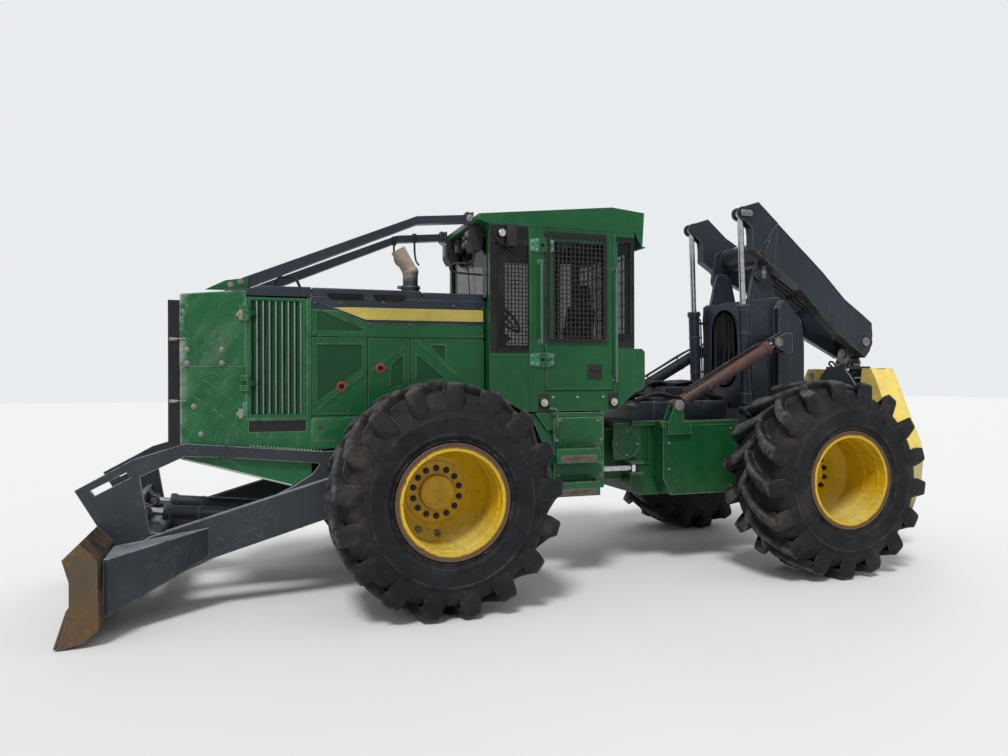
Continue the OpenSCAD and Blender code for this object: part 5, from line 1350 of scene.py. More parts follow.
def frames_pieces():
    # Side plate of the neck, and the round cover with its bolts
    with piece("rear_frame_covers", "frame_green", "rear_frame", side=0) as bm:
        plate(bm, [(-2.298, 1.392), (-2.1, 1.392), (-2.1, 1.033), (-2.16, 0.99), (-2.298, 0.99)],
                0.4142, 0.0053, 0.001)
        plate(bm, [(-2.1, 1.392), (-1.925, 1.392), (-1.905, 1.372), (-1.905, 1.053), (-1.925, 1.033),
                (-2.1, 1.033)], 0.385, 0.0345, 0.003)
        button(bm, [(0, 0.153), (0.004, 0.157), (0.008, 0.153), (0.008, 0.138), (0.005, 0.135)],
                at(-2.045, 0.4193, 1.192), 56)
        # Edges of the deck plate and the boxes
        plate(bm, corners(-2.3, -3.16, 1.415, 1.405), 0.6262, 0.004, 0.001)
        both_sides(bm)
        box(bm, (-4.1405, -0.37, 0.905), (-4.1802, 0.37, 0.92), 0.002)
    with piece("rear_frame_bolts", "grey_bolt", "rear_frame") as bm:
        for x, z in ((-2.045, 1.308), (-1.929, 1.196), (-2.161, 1.188), (-2.045, 1.076)):
            hex_nut(bm, at(x, 0.4243, z), (0, 1, 0), 0.02, 0.01)
        bolts(bm, [(-2.4, 1.2), (-2.4, 0.95), (-3.1, 1.33), (-3.1, 0.76)], 0.6202, 0.02, 0.008)
    # Seams and bolts of the rear frame's boxes
    with piece("rear_frame_welds", "frame_green", "rear_frame") as bm:
        for start, end in (((-2.338, 0.6205, 1.4), (-2.338, 0.6205, 0.862)),
                ((-2.338, 0.6205, 0.862), (-2.42, 0.6205, 0.702)),
                ((-2.42, 0.6205, 0.702), (-3.155, 0.6205, 0.702)),
                ((-2.34, 0.402, 1.402), (-2.1, 0.402, 1.402))):
            weld(bm, start, end, 0.005)
    # Deck covers: lids, stops, nuts and side strips
    with piece("deck_lids", "charcoal", "rear_frame") as bm:
        for x0, x1, half in ((-2.32, -2.555, 0.36), (-3.14, -3.225, 0.36)):
            box(bm, (x1, -half, 1.6002), (x0, half, 1.609), 0.003)
        box(bm, (-3.055, -0.2, 1.7352), (-2.605, 0.2, 1.744), 0.004)
        for y in (-0.12, 0.12):
            box(bm, (-2.99, y - 0.03, 1.744), (-2.93, y + 0.03, 1.762), 0.004)
            box(bm, (-2.73, y - 0.03, 1.744), (-2.67, y + 0.03, 1.762), 0.004)
        for x in (-2.4, -2.8, -3.2):
            for y in (-0.34, 0.34):
                hex_nut(bm, at(x, y, 1.609 if x > -2.56 or x < -3.14 else 1.6002), (0, 0, 1), 0.022, 0.01)
        plate(bm, corners(-2.36, -2.9, 1.59, 1.43), 0.3802, 0.006, 0.002)
        plate(bm, corners(-2.94, -3.22, 1.59, 1.43), 0.3802, 0.006, 0.002)
    # Hydraulic hoses over the deck to the arch
    with piece("deck_hoses", "hose", "rear_frame", side=0) as bm:
        for i, y in enumerate((-0.155, -0.115, -0.075, -0.035, 0.005, 0.045)):
            lift = 0.012 * (i % 3)
            pipe(bm, [(-2.17, y * 1.6, 1.585), (-2.33, y * 1.5, 1.64 + lift), (-2.56, y, 1.765 + lift),
                    (-2.8, y, 1.768), (-3.06, y, 1.765 + lift), (-3.25, y * 1.1, 1.7),
                    (-3.33, y * 1.3, 1.56 + lift)], 0.0145, 2)
        for i, y in enumerate((0.24, 0.28, 0.32)):
            pipe(bm, [(-2.22, y, 1.6), (-2.4, y + 0.01, 1.655 + 0.01 * i), (-2.7, y + 0.02, 1.64),
                    (-3.0, y, 1.65 + 0.012 * i), (-3.25, y + 0.03, 1.6), (-3.32, y + 0.04, 1.52)], 0.013, 2)
            pipe(bm, [(-2.25, -y, 1.6), (-2.5, -y - 0.01, 1.65 + 0.01 * i), (-2.8, -y + 0.01, 1.645),
                    (-3.15, -y, 1.64), (-3.32, -y - 0.03, 1.52)], 0.013, 2)
    # Bundles of hoses on both sides of the middle joint
    with piece("hitch_hoses_rear", "hose", "rear_frame", side=0) as bm:
        for y in (-0.25, -0.2, -0.15, 0.15, 0.2, 0.25):
            pipe(bm, [(-2.15, y, 1.372), (-2.13, y, 1.3), (-2.16, y * 1.05, 1.2), (-2.2, y, 1.12)], 0.014, 2)
    with piece("hitch_hoses_front", "hose", side=0) as bm:
        for i, y in enumerate((-0.25, -0.19, -0.13, 0.13, 0.19, 0.25)):
            pipe(bm, [(-1.25, y, 1.15), (-1.33, y, 1.12), (-1.4, y * 1.1, 1.0 - 0.01 * i), (-1.38, y, 0.9),
                    (-1.3, y, 0.86)], 0.014, 2)
    # Bolts and welds of the front frame
    with piece("front_frame_bolts", "grey_bolt") as bm:
        bolts(bm, [(0.9, 0.78), (0.75, 0.78), (0.9, 0.92), (-0.6, 1.12), (-0.45, 1.12), (-0.95, 0.8),
                (-0.95, 1.1)], 0.3402, 0.026, 0.014)
    with piece("front_frame_welds", "frame_green") as bm:
        for x in (-1.04, -1.7):
            weld(bm, (x, 0.402, 1.501), (x + 0.06, 0.402, 1.501), 0.005)
        weld(bm, (-1.095, 0.3402, 1.185), (0.68, 0.3402, 1.185), 0.005)
        weld(bm, (-1.098, 0.3402, 0.702), (0.88, 0.3402, 0.702), 0.005)
    # Rings and bolted flanges of the axles
    for body, axle, word in (("front_frame", 0.0, "front"), ("rear_frame", -3.7, "rear")):
        with piece(f"{word}_axle_flanges", "frame_green", body, side=0) as bm:
            for side in (-1, 1):
                out = (0, side, 0)
                for y in (0.62, 0.7, 0.78):
                    turned(bm, [(0, 0.1505), (0, 0.17), (0.018, 0.17), (0.018, 0.1505), (0, 0.1505)],
                            at(axle, side * y, 0.905), 36, out)
                for i in range(12):
                    turn = 2 * math.pi * i / 12
                    hex_nut(bm, at(axle + 0.205 * math.sin(turn), side * 0.864, 0.905 + 0.205 * math.cos(turn)),
                            (0, -side, 0), 0.024, 0.012)


class SKID_OT_frames(bpy.types.Operator):
    """Make the covers, bolts, welds and hoses of the front and rear frames"""

    bl_idname = "skidder.frames"
    bl_label = "Frame trim"

    def execute(self, context):
        frames_pieces()
        return {"FINISHED"}


def blade_pieces():
    # Cutting edge with countersunk bolts on the front of the moldboard
    with piece("cutting_edges", "rust", "blade", side=0) as bm:
        for i in range(4):
            y0 = -1.288 + i * 0.645
            plate(bm, [(2.6935, 0.01), (2.6152, 0.262), (2.631, 0.268), (2.709, 0.014)], y0, 0.641, 0.003)
    with piece("cutting_edge_bolts", "steel", "blade", side=0) as bm:
        lean = Vector((0.955, 0.0, 0.296))
        for i in range(16):
            y = -1.2 + i * 0.16
            for up in (0.35, 0.75):
                spot = at(2.6935, y, 0.01).lerp(at(2.6152, y, 0.262), up) + lean * 0.0155
                turned(bm, [(0, 0), (0, 0.017), (0.0015, 0.015), (0.0015, 0.009), (0.0, 0.006),
                        (0, 0)], spot, 16, lean)
    # Small teeth along the top of the arms, worn pale
    with piece("arm_teeth", "worn_edge", "blade") as bm:
        for i in range(22):
            x = 1.44 - i * 0.0265
            z = 1.283 + (x - 1.39) * (0.055 / 0.524)
            button(bm, [(0, 0.009), (0.012, 0.006)], at(x, 0.606, z - 0.001), 8, (0, 0, 1))
    # Weld beads of the arms, the box beams and the wings
    with piece("blade_welds", "blade_charcoal", "blade", side=0) as bm:
        for start, end in (((2.07, 0.6225, 0.648), (0.836, 0.6225, 1.005)),
                ((1.794, 0.6225, 0.393), (0.852, 0.6225, 0.669)), ((2.339, 0.588, 0.43), (2.339, 0.588, 0.85)),
                ((2.299, 0.588, 0.43), (2.299, 0.588, 0.85))):
            weld(bm, start, end, 0.006)
        both_sides(bm)
        for z in (0.482, 0.64):
            weld(bm, (2.175, -0.585, z), (2.175, 0.585, z), 0.004)
    # Caps of the arm pins and of the lift cylinders
    with piece("arm_pin_caps", "grey_bolt") as bm:
        button(bm, [(0, 0.055), (0.008, 0.055), (0.01, 0.048)], at(0.42, 0.6425, 1.06), 32)
        for x, z in ((0.448, 1.06), (0.392, 1.06)):
            hex_nut(bm, at(x, 0.6525, z), (0, 1, 0), 0.022, 0.012)
    with piece("lift_pin_caps", "steel", "blade") as bm:
        for y in (0.3545, 0.2255):
            button(bm, [(0, 0.034), (0.01, 0.032)], at(2.25, y, 0.76), 24, (0, 1 if y > 0.3 else -1, 0))
    # Weld beads on the moldboard's ends
    with piece("moldboard_welds", "rust", "blade") as bm:
        for start, end in (((2.441, 1.2895, 0.43), (2.442, 1.2895, 0.589)),
                ((2.442, 1.2895, 0.589), (2.553, 1.2895, 0.714))):
            weld(bm, start, end, 0.006)


class SKID_OT_blade(bpy.types.Operator):
    """Make the blade's cutting edge, its bolts, the pins and the toothed strips of the arms"""

    bl_idname = "skidder.blade"
    bl_label = "Blade trim"

    def execute(self, context):
        blade_pieces()
        return {"FINISHED"}


ARC_STEPS = 12


def stadium(low, high, radius):
    """Outline of a long hole in y and z."""
    turns = [math.pi * i / ARC_STEPS for i in range(ARC_STEPS + 1)]
    upper = [(math.cos(turn) * radius, high + math.sin(turn) * radius) for turn in turns]
    return upper + [(-math.cos(turn) * radius, low - math.sin(turn) * radius) for turn in turns]


def arch_pieces():
    # Rolled rim of the long opening in the front plate
    with piece("arch_keepers", "charcoal", "arch_unit") as bm:
        part, face = outlined((-3.4598, y, z) for y, z in stadium(1.95, 2.35, 0.222))
        framed(part, face, 0.026)
        thickened(part, part.faces[:], (0.01, 0, 0))
        joined(bm, part)
        # Keeper plates of the boom pivot and the cylinders' base pins
        for x, z, tall in ((-3.646, 2.935, 0.075), (-3.4, 1.5, 0.045)):
            y = 0.4145 if z > 2 else 0.5095
            plate(bm, [(x - 0.034, z + tall), (x + 0.034, z + tall), (x + 0.042, z), (x + 0.034, z - tall),
                    (x - 0.034, z - tall), (x - 0.042, z)], y, 0.01, 0.003)
    with piece("arch_bolts", "grey_bolt", "arch_unit") as bm:
        for x, z, y in ((-3.646, 2.985, 0.4245), (-3.646, 2.885, 0.4245), (-3.4, 1.525, 0.5195),
                (-3.4, 1.475, 0.5195)):
            hex_nut(bm, at(x, y, z), (0, 1, 0), 0.028, 0.014)
        turned(bm, corners(0, 0.006, 0, 0.03), at(-3.646, 0.4245, 2.935), 24)
    with piece("arch_welds", "charcoal", "arch_unit") as bm:
        side = 0.4805
        for start, end in (((-3.79, side, 2.545), (-3.846, side, 2.64)),
                ((-3.846, side, 2.64), (-4.063, side, 2.44)), ((-4.063, side, 2.44), (-4.102, side, 2.195)),
                ((-4.102, side, 2.195), (-4.103, side, 1.61)), ((-3.789, 0.402, 1.61), (-3.789, 0.402, 2.55)),
                ((-3.4585, 0.4, 1.51), (-3.4585, 0.4, 2.63)), ((-3.47, 0.395, 2.641), (-3.84, 0.395, 2.641)),
                ((-3.51, 0.3605, 2.642), (-3.84, 0.3605, 2.642))):
            weld(bm, start, end, 0.006)
    # Hoses inside the opening and up the front plate
    with piece("arch_hoses", "hose", "arch_unit", side=0) as bm:
        for i in range(4):
            y = -0.15 + i * 0.1
            pipe(bm, [(-3.52, y, 1.6), (-3.54, y, 1.9 + i * 0.02), (-3.56, y * 0.7, 2.3),
                    (-3.54, y * 0.6, 2.56), (-3.53, y * 0.6, 2.592)], 0.015, 2)
        for side in (-1, 1):
            for k in (0, 1):
                y = side * (0.345 + 0.03 * k)
                pipe(bm, [(-3.448, y, 1.56), (-3.4475, y, 1.9), (-3.448, y, 2.3), (-3.448, y, 2.56),
                        (-3.485, y, 2.655)], 0.01, 2)
    with piece("arch_hose_clamps", "black_steel", "arch_unit", side=0) as bm:
        for side in (-1, 1):
            for z in (1.7, 2.1, 2.45):
                box(bm, (-3.4598, side * 0.377 - 0.04, z - 0.012),
                        (-3.412, side * 0.377 + 0.04, z + 0.012), 0.003)
    # Wire rope wound on the drum of the winch
    with piece("winch_rope", "rope", "arch_unit", side=0) as bm:
        for i in range(22):
            hoop(bm, at(-3.74, -0.225 + i * 0.0205, 1.76), (0, 1, 0), 0.1195, 0.0098, 36, 7)


class SKID_OT_arch(bpy.types.Operator):
    """Make the arch's welds, pin keepers, oval rim and hoses"""

    bl_idname = "skidder.arch"
    bl_label = "Arch trim"

    def execute(self, context):
        arch_pieces()
        return {"FINISHED"}


def boom_pieces():
    aside = math.atan2(0.455 - 0.1925, 5.13 - 3.7)

    def on_arm(x, z, off=0.0):
        """A point on the outer face of the left arm, from its place along the machine."""
        y = 0.455 - (-3.7 - x) * math.tan(aside) + 0.05 / math.cos(aside) + off
        return (x, y, z)

    # Seams along the edges of the arms' side plates
    with piece("boom_welds", "charcoal", "boom_unit") as bm:
        run = ((-3.757, 3.441), (-4.44, 2.98), (-4.8, 2.7), (-5.1, 2.54), (-5.254, 2.452))
        for a, b in zip(run, run[1:]):
            weld(bm, on_arm(a[0] - 0.01, a[1] - 0.012, 0.001), on_arm(b[0] - 0.01, b[1] - 0.012, 0.001), 0.006)
        under = ((-3.64, 3.0), (-4.11, 2.77), (-4.415, 2.508), (-4.62, 2.351), (-5.14, 2.056))
        for a, b in zip(under, under[1:]):
            weld(bm, on_arm(a[0], a[1] + 0.014, 0.001), on_arm(b[0], b[1] + 0.014, 0.001), 0.006)
        weld(bm, (-3.52, 0.5105, 3.12), (-3.757, 0.5105, 3.44), 0.006)
    # Welded patch near the tip, on the outer faces
    with piece("boom_patches", "charcoal", "boom_unit") as bm:
        outline = [(-4.56, 2.59), (-4.715, 2.485), (-4.64, 2.375), (-4.485, 2.48)]
        part, face = outlined(on_arm(x, z, 0.0008) for x, z in outline)
        thickened(part, [face], (0, 0.004, 0))
        joined(bm, part)
    # Keepers and bolts of the nose pins
    with piece("boom_pin_keepers", "grey_bolt", "boom_unit") as bm:
        x, z = -3.337, 3.517
        plate(bm, [(x - 0.085, z + 0.03), (x + 0.03, z + 0.034), (x + 0.046, z), (x + 0.03, z - 0.034),
                (x - 0.085, z - 0.03), (x - 0.105, z)], 0.5205, 0.012, 0.004)
        for dx in (0.004, -0.062):
            button(bm, [(0, 0.022), (0.005, 0.022), (0.006, 0.017), (0.016, 0.016), (0.018, 0.01)],
                    at(x + dx, 0.5325, z), 20)
        button(bm, [(0, 0.05), (0.012, 0.048)], at(-5.13, 0.268, 2.235), 28)
    # Hoses between the arms, down to the tip
    with piece("boom_hoses", "hose", "boom_unit", side=0) as bm:
        for i in range(4):
            y = -0.075 + i * 0.05
            pipe(bm, [(-3.83, y * 1.8, 3.02), (-3.99, y * 1.8, 2.99), (-4.2, y * 1.6, 2.88),
                    (-4.56, y * 1.3, 2.64), (-4.7, y, 2.55), (-4.93, y, 2.44), (-5.03, y, 2.36)], 0.014, 2)
    with piece("boom_hose_clamps", "black_steel", "boom_unit", side=0) as bm:
        for x, z in ((-4.11, 2.942), (-4.4, 2.75)):
            box(bm, (x - 0.025, -0.145, z - 0.024), (x + 0.025, 0.145, z + 0.024), 0.004)
        box(bm, (-4.64, -0.12, 2.6), (-4.57, 0.12, 2.622), 0.004)


class SKID_OT_boom(bpy.types.Operator):
    """Make the boom's patches, welds, pin keepers and hose bundle"""

    bl_idname = "skidder.boom"
    bl_label = "Boom trim"

    def execute(self, context):
        boom_pieces()
        return {"FINISHED"}


def cylinders_pieces():
    # name, body, base pin, top pin, y, barrel length, barrel radius, side of the hard line, finish of the lines
    table = (
        ("boom_barrel_lines", "boom_barrel_pair", (-3.4, 1.5), (-3.337, 3.517), 0.455, 1.085,
            0.06, -1, "charcoal"),
        ("arch_barrel_lines", "arch_barrel_pair", (-2.493, 1.569), (-3.64, 2.19), 0.6, 1.215,
            0.062, 1, "rusty_green"),
        # The lift cylinders' lines are charcoal too, as painted shade
        ("lift_barrel_lines", "blade_barrels", (1.115, 0.64), (2.25, 0.76), 0.29, 1.01, 0.058, 1, "charcoal"),
    )
    for name, body, base, top, y, length, radius, way, look in table:
        base_v, top_v = Vector((base[0], 0, base[1])), Vector((top[0], 0, top[1]))
        run = (top_v - base_v).normalized()
        across = Vector((run.z, 0, -run.x)) * way
        with piece(name, look, body, slot="charcoal_paint" if look == "charcoal" else "rusty_steel") as bm:

            def on(distance, off, side=0.0):
                place = base_v + run * distance + across * off
                return (place.x, y + side, place.z)

            # Collar and gland at the rod's end, foot ring at the base
            turned(bm, [(0, radius + 0.0085), (0.004, radius + 0.013), (0.04, radius + 0.013),
                    (0.044, radius + 0.0085), (0, radius + 0.0085)], at(*on(length - 0.052, 0)), 32, run)
            turned(bm, [(0, radius + 0.0004), (0.004, radius + 0.006), (0.022, radius + 0.006),
                    (0.026, radius + 0.0004), (0, radius + 0.0004)], at(*on(0.15, 0)), 32, run)
            # Ports and the hard line along the barrel, with two clamps
            off = radius + 0.022
            pipe(bm, [on(0.19, radius - 0.004), on(0.195, off), on(0.26, off + 0.004),
                    on(length - 0.15, off + 0.004), on(length - 0.085, off),
                    on(length - 0.078, radius - 0.002)], 0.0085, 2, 0.02)
            for share in (0.36, 0.72):
                turned(bm, [(0, radius + 0.0004), (0.001, radius + 0.004), (0.021, radius + 0.004),
                        (0.022, radius + 0.0004), (0, radius + 0.0004)], at(*on(length * share, 0)), 32, run)
                turned(bm, corners(0, 0.022, 0, 0.014), at(*on(length * share, off + 0.002)), 12, run)
    # Pin ends of the arch cylinders, with their grease caps
    with piece("arch_base_pin_caps", "grey_bolt", "rear_frame") as bm:
        button(bm, [(0, 0.052), (0.01, 0.052), (0.012, 0.046), (0.012, 0.028), (0.018, 0.026)],
                at(-2.493, 0.6605, 1.569), 28)
    with piece("arch_rod_pin_caps", "grey_bolt", "arch_unit") as bm:
        button(bm, [(0, 0.046), (0.012, 0.044), (0.016, 0.03)], at(-3.64, 0.6695, 2.19), 28)
    # Hose along the rusty arch barrels
    with piece("arch_barrel_hoses", "hose", "arch_barrel_pair") as bm:
        pipe(bm, [(-2.56, 0.615, 1.7), (-2.8, 0.622, 1.835), (-3.05, 0.622, 1.972), (-3.3, 0.62, 2.11),
                (-3.42, 0.615, 2.165)], 0.012, 3)
    for word, side in SIDES:
        with piece(f"steer_barrel_lines_{word}", "charcoal", f"steer_barrel_{word[0]}", side=side) as bm:
            start, far = Vector((-0.88, 0.45, 0.965)), Vector((-2.075, 0.5, 0.965))
            run = (far - start).normalized()
            length = (far - start).length * 0.6645
            turned(bm, [(0, 0.0455), (0.003, 0.052), (0.034, 0.052), (0.037, 0.0455), (0, 0.0455)],
                    at(*(start + run * (length - 0.045))), 28, run)
            pipe(bm, [tuple(start + run * 0.16 + Vector((0, 0, 0.042))),
                    tuple(start + run * 0.17 + Vector((0, 0, 0.062))),
                    tuple(start + run * (length - 0.08) + Vector((0, 0, 0.062))),
                    tuple(start + run * (length - 0.07) + Vector((0, 0, 0.044)))], 0.007, 2, 0.015)


class SKID_OT_cylinders(bpy.types.Operator):
    """Make the gland collars, ports and hard lines of the hydraulic cylinders"""

    bl_idname = "skidder.cylinders"
    bl_label = "Cylinder trim"

    def execute(self, context):
        cylinders_pieces()
        return {"FINISHED"}


def grapple_pieces():
    x = -5.13
    with piece("crosshead_caps", "grey_bolt", "crosshead_unit", side=0) as bm:
        for s in (-1, 1):
            button(bm, [(0, 0.052), (0.008, 0.052), (0.01, 0.044)], at(x, s * 0.1185, 2.235), 28, (0, s, 0))
        weld(bm, (x + 0.046, 0.062, 2.19), (x + 0.046, -0.062, 2.19), 0.005)
    with piece("yoke_caps", "grey_bolt", "yoke_unit", side=0) as bm:
        for way in (-1, 1):
            button(bm, [(0, 0.056), (0.008, 0.056), (0.01, 0.05), (0.01, 0.018), (0.014, 0.016)],
                    at(x + way * 0.0805, 0, 2.11), 28, (way, 0, 0))
            for y in (-0.085, 0.085):
                hex_nut(bm, at(x + way * 0.0755, y, 2.012), (way, 0, 0), 0.026, 0.014)
    with piece("grapple_pins", "grey_bolt", "grapple_unit", side=0) as bm:
        for way in (-1, 1):
            for s in (-1, 1):
                button(bm, [(0, 0.05), (0.01, 0.05), (0.012, 0.042)],
                        at(x + way * 0.1845, s * 0.33, 1.6), 28, (way, 0, 0))
                hex_nut(bm, at(x + way * 0.1965, s * 0.33, 1.6), (way, 0, 0), 0.034, 0.016, False)
                weld(bm, (x + way * 0.182, s * 0.15, 1.932), (x + way * 0.182, s * 0.395, 1.645), 0.005)
        box(bm, (x - 0.07, -0.1, 1.9605), (x + 0.07, 0.1, 1.9645), 0.001)
    for word, s in SIDES:
        # Pins of the right tong's cylinder end, and the tong's point
        with piece(f"tong_point_{word}", "steel", f"tong_{word[0]}", side=0) as bm:
            for way in (-1, 1):
                if s < 0:
                    button(bm, [(0, 0.044), (0.01, 0.042)],
                            at(x + way * 0.1505, s * 0.43, 1.85), 24, (way, 0, 0))
            outline = [(0.505, 0.2), (0.52, 0.181), (0.6, 0.229), (0.68, 0.33), (0.64, 0.385), (0.56, 0.27)]
            part, face = outlined((x - 0.1505, y, z) for y, z in outline)
            thickened(part, [face], (0.301, 0, 0))
            bmesh.ops.scale(part, vec=(1, s, 1), verts=part.verts)
            joined(bm, part)
    # Hoses from the boom's tip into the rotator
    with piece("rotator_hoses", "hose", "grapple_unit", side=0) as bm:
        for s in (-1, 1):
            pipe(bm, [(x + 0.05, s * 0.13, 1.962), (x + 0.11, s * 0.15, 2.02), (x + 0.135, s * 0.15, 1.99),
                    (x + 0.12, s * 0.12, 1.963)], 0.011, 2)


class SKID_OT_grapple(bpy.types.Operator):
    """Make the grapple's pins, caps, hoses and tong points"""

    bl_idname = "skidder.grapple"
    bl_label = "Grapple trim"

    def execute(self, context):
        grapple_pieces()
        return {"FINISHED"}


def exhaust_pieces():
    base = Vector((-0.02, -0.12, 0.0))
    with piece("exhaust_clamps", "steel", side=0) as bm:
        hoop(bm, at(*(base + Vector((0, 0, 2.706)))), (0, 0, 1), 0.0925, 0.005, 40)
        hoop(bm, at(*(base + Vector((0, 0, 2.552)))), (0, 0, 1), 0.124, 0.006, 40)
        box(bm, (base.x + 0.088, base.y - 0.012, 2.69), (base.x + 0.125, base.y + 0.012, 2.722), 0.003)
    # Hoops that hang from the far limb riser round the exhaust
    with piece("exhaust_hoops", "black_steel", slot="charcoal_paint", side=0) as bm:
        pipe(bm, [(0.078, -0.4445, 3.215), (0.08, -0.44, 3.06), (0.076, -0.36, 2.97), (0.045, -0.24, 2.915),
                (0.025, -0.215, 2.905)], 0.0105, 3, 0.05)
        pipe(bm, [(-0.128, -0.4445, 3.255), (-0.13, -0.44, 3.08), (-0.13, -0.36, 2.99),
                (-0.126, -0.235, 2.95)], 0.0105, 3, 0.05)
        for px, pz in ((0.078, 3.205), (-0.128, 3.245)):
            box(bm, (px - 0.022, -0.444, pz - 0.045), (px + 0.022, -0.434, pz + 0.045), 0.003)
    # Clamps and pins at the roof end of the limb risers
    with piece("riser_clamps", "charcoal", side=0) as bm:
        for y in (0.48, -0.48):
            for px in (-0.455, -0.408):
                box(bm, (px - 0.01, y - 0.052, 3.216), (px + 0.01, y + 0.052, 3.328), 0.003)
    with piece("riser_pins", "rosy", side=0) as bm:
        for s in (-1, 1):
            button(bm, [(0, 0.034), (0.006, 0.034), (0.008, 0.022), (0.018, 0.021)],
                    at(-0.432, s * 0.5262, 3.272), 24, (0, s, 0))


class SKID_OT_exhaust(bpy.types.Operator):
    """Make the clamps and guard hoops of the exhaust, and the limb risers' pins"""

    bl_idname = "skidder.exhaust"
    bl_label = "Exhaust trim"

    def execute(self, context):
        exhaust_pieces()
        return {"FINISHED"}


def interior_pieces():
    bm = bmesh.new()

    def pad(low, high, puff, turn=None, move=None):
        """A cushion: a box whose middle is puffed out and whose edges are drawn in by its seams."""
        part = bmesh.new()
        bmesh.ops.create_cube(part, size=1.0)
        bmesh.ops.subdivide_edges(part, edges=part.edges[:], cuts=9, use_grid_fill=True)
        size = Vector(high) - Vector(low)
        middle = (Vector(high) + Vector(low)) / 2
        for point in part.verts:
            u, v, w = point.co * 2
            swell = (1 - u ** 4) * (1 - v ** 4)
            rounded = Vector((u * (1 - 0.05 * v * v - 0.05 * w * w), v * (1 - 0.05 * u * u - 0.05 * w * w),
                    w * (0.8 + 0.2 * swell)))
            tuck = 0.03 * (abs(math.sin(v * math.pi * 1.5)) ** 8) * swell
            rounded.z -= tuck * w
            crease = noise.noise(point.co * 7.0 + middle * 3.0) * 0.02
            point.co = Vector((rounded.x * size.x / 2, rounded.y * size.y / 2,
                    rounded.z * size.z / 2 * (1 + puff * swell) + crease * size.z * 0.3))
        if turn is not None:
            bmesh.ops.rotate(part, verts=part.verts, matrix=turn)
        bmesh.ops.translate(part, verts=part.verts, vec=at(*(middle + Vector(move or (0, 0, 0)))))
        joined(bm, part)

    pad((-1.7, -0.245, 1.885), (-1.2, 0.245, 2.0), 0.18)
    lean = Matrix.Rotation(math.radians(-6.5), 3, "Y")
    pad((-1.79, -0.225, 1.985), (-1.665, 0.225, 2.565), 0.0, lean)
    pad((-1.8, -0.135, 2.612), (-1.705, 0.135, 2.76), 0.0, lean)
    pad((-1.76, 0.238, 2.145), (-1.36, 0.306, 2.202), 0.1)
    pad((-1.76, -0.306, 2.145), (-1.36, -0.238, 2.202), 0.1)
    seat = finished("seat_cushions", bm, LOOKS["cloth"], "front_frame", 60.0)
    with piece("cab_controls", "black", side=0) as bm:
        for y in (-0.38, 0.38):
            turned(bm, [(0, 0), (0, 0.04), (0.02, 0.036), (0.045, 0.02), (0.06, 0.012), (0.11, 0.011),
                    (0.12, 0.02), (0.16, 0.024), (0.185, 0.018), (0.192, 0)],
                    at(-1.4, y, 2.1202), 20, (0, 0, 1))
            box(bm, (-1.555, y - 0.046, 2.1202), (-1.45, y + 0.046, 2.15), 0.006)
            for k in range(4):
                button(bm, [(0, 0.007), (0.01, 0.006)], at(-1.535 + 0.022 * k, y, 2.15), 10, (0, 0, 1))
        pipe(bm, [(-0.8, 0.0, 2.325), (-0.9, 0.0, 2.4), (-0.95, 0.0, 2.42)], 0.022, 3)
        hoop(bm, at(-0.955, 0.0, 2.425), (-0.75, 0, 0.66), 0.175, 0.014, 40)
        for turn in (0.5, 2.6, 4.71):
            a = Vector((-0.955, 0.0, 2.425))
            side = Vector((0, math.cos(turn) * 0.172, 0)) + Vector((0.66, 0,
                    0.75)).normalized() * math.sin(turn) * 0.172
            pipe(bm, [tuple(a), tuple(a + side)], 0.009, 2)
        box(bm, (-0.7, -0.13, 2.242), (-0.69, 0.13, 2.302), 0.002)


class SKID_OT_interior(bpy.types.Operator):
    """Make the padded seat, the levers and the wheel in the cab"""

    bl_idname = "skidder.interior"
    bl_label = "Cab interior"

    def execute(self, context):
        interior_pieces()
        return {"FINISHED"}


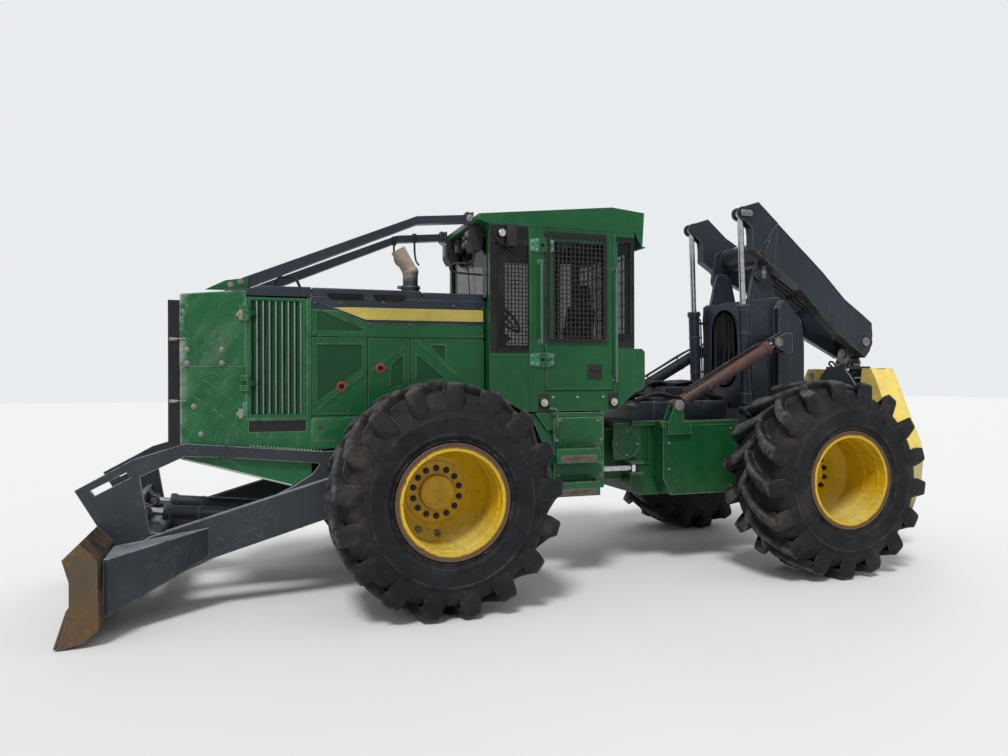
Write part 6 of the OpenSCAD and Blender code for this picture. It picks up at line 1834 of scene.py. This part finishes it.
class SKID_OT_studio(bpy.types.Operator):
    """Set the plain floor, the soft lights and the camera of the photograph"""

    bl_idname = "skidder.studio"
    bl_label = "Studio"

    def execute(self, context):
        scene = context.scene
        looks = scene.skidder_looks
        bm = bmesh.new()
        bmesh.ops.create_grid(bm, x_segments=1, y_segments=1, size=60.0)
        floor = started("studio_floor")
        bm.to_mesh(floor.data)
        bm.free()
        ground = Finish("Studio floor")
        grain = ground.cloud(1.2, 3.0)
        ground.colour = ground.blend(toned(looks.floor, 0.985), tuple(looks.floor), grain)
        floor.data.materials.append(ground.done(0.9, Specular_IOR_Level=0.1))
        world = bpy.data.worlds.new("Studio")
        scene.world = world
        world.use_nodes = True
        tree = world.node_tree
        tree.nodes.clear()
        rays = tree.nodes.new("ShaderNodeLightPath")
        seen = tree.nodes.new("ShaderNodeBackground")
        seen.inputs["Color"].default_value = (0.86, 0.88, 0.9, 1)
        seen.inputs["Strength"].default_value = 0.95
        light = tree.nodes.new("ShaderNodeBackground")
        light.inputs["Color"].default_value = (0.95, 0.97, 1.0, 1)
        light.inputs["Strength"].default_value = looks.sky
        mix = tree.nodes.new("ShaderNodeMixShader")
        final = tree.nodes.new("ShaderNodeOutputWorld")
        tree.links.new(rays.outputs["Is Camera Ray"], mix.inputs["Fac"])
        tree.links.new(light.outputs[0], mix.inputs[1])
        tree.links.new(seen.outputs[0], mix.inputs[2])
        tree.links.new(mix.outputs[0], final.inputs["Surface"])
        for name, strength, angle, aim in (("Key", looks.sun, 14.0, (-0.35, -0.55, -0.95)),
                ("Rim", looks.sun * 0.25, 30.0, (0.6, 0.7, -0.5))):
            lamp = bpy.data.lights.new(name, "SUN")
            lamp.energy = strength
            lamp.angle = math.radians(angle)
            holder = bpy.data.objects.new(name, lamp)
            holder.rotation_mode = "QUATERNION"
            holder.rotation_quaternion = Vector(aim).to_track_quat("-Z", "Y")
            scene.collection.objects.link(holder)
        lens = bpy.data.cameras.new("Photograph")
        lens.sensor_width = 36.0
        lens.lens = FOCAL_PIXELS / PHOTO_WIDTH * lens.sensor_width
        lens.clip_end = 300.0
        camera = bpy.data.objects.new("Photograph", lens)
        scene.collection.objects.link(camera)
        camera.location = at(*CAMERA_PLACE)
        look = Vector((-0.3177, -0.9482, math.tan(math.radians(0.03))))
        camera.rotation_mode = "QUATERNION"
        roll = Matrix.Rotation(math.radians(0.147), 3, look)
        camera.rotation_quaternion = roll.to_quaternion() @ look.to_track_quat("-Z", "Y")
        scene.camera = camera
        scene.view_settings.view_transform = "Standard"
        return {"FINISHED"}


class SKID_PT_panel(bpy.types.Panel):
    """The skidder's pieces"""

    bl_idname = "SKID_PT_panel"
    bl_label = "Skidder"
    bl_space_type = "VIEW_3D"
    bl_region_type = "UI"
    bl_category = "Skidder"

    def draw(self, context):
        layout = self.layout
        for settings in (context.scene.skidder_looks, context.scene.skidder_tyres):
            box = layout.box()
            for key in settings.__annotations__:
                box.prop(settings, key)
        for step in STEPS:
            layout.operator(step.bl_idname)


STEPS = (SKID_OT_finishes, SKID_OT_studio, SKID_OT_tyres, SKID_OT_wheels, SKID_OT_hood, SKID_OT_radiator,
        SKID_OT_cab, SKID_OT_interior, SKID_OT_exhaust, SKID_OT_frames, SKID_OT_blade, SKID_OT_arch,
        SKID_OT_boom, SKID_OT_cylinders, SKID_OT_grapple)
CLASSES = (LookSettings, TyreSettings, *STEPS, SKID_PT_panel)


def register():
    for entry in CLASSES:
        bpy.utils.register_class(entry)
    bpy.types.Scene.skidder_looks = PointerProperty(type=LookSettings)
    bpy.types.Scene.skidder_tyres = PointerProperty(type=TyreSettings)


def unregister():
    del bpy.types.Scene.skidder_tyres
    del bpy.types.Scene.skidder_looks
    for entry in reversed(CLASSES):
        bpy.utils.unregister_class(entry)


def main():
    """Dress the machine."""
    register()
    for step in STEPS:
        group, name = step.bl_idname.split(".")
        getattr(getattr(bpy.ops, group), name)()


if __name__ == "__main__":
    main()
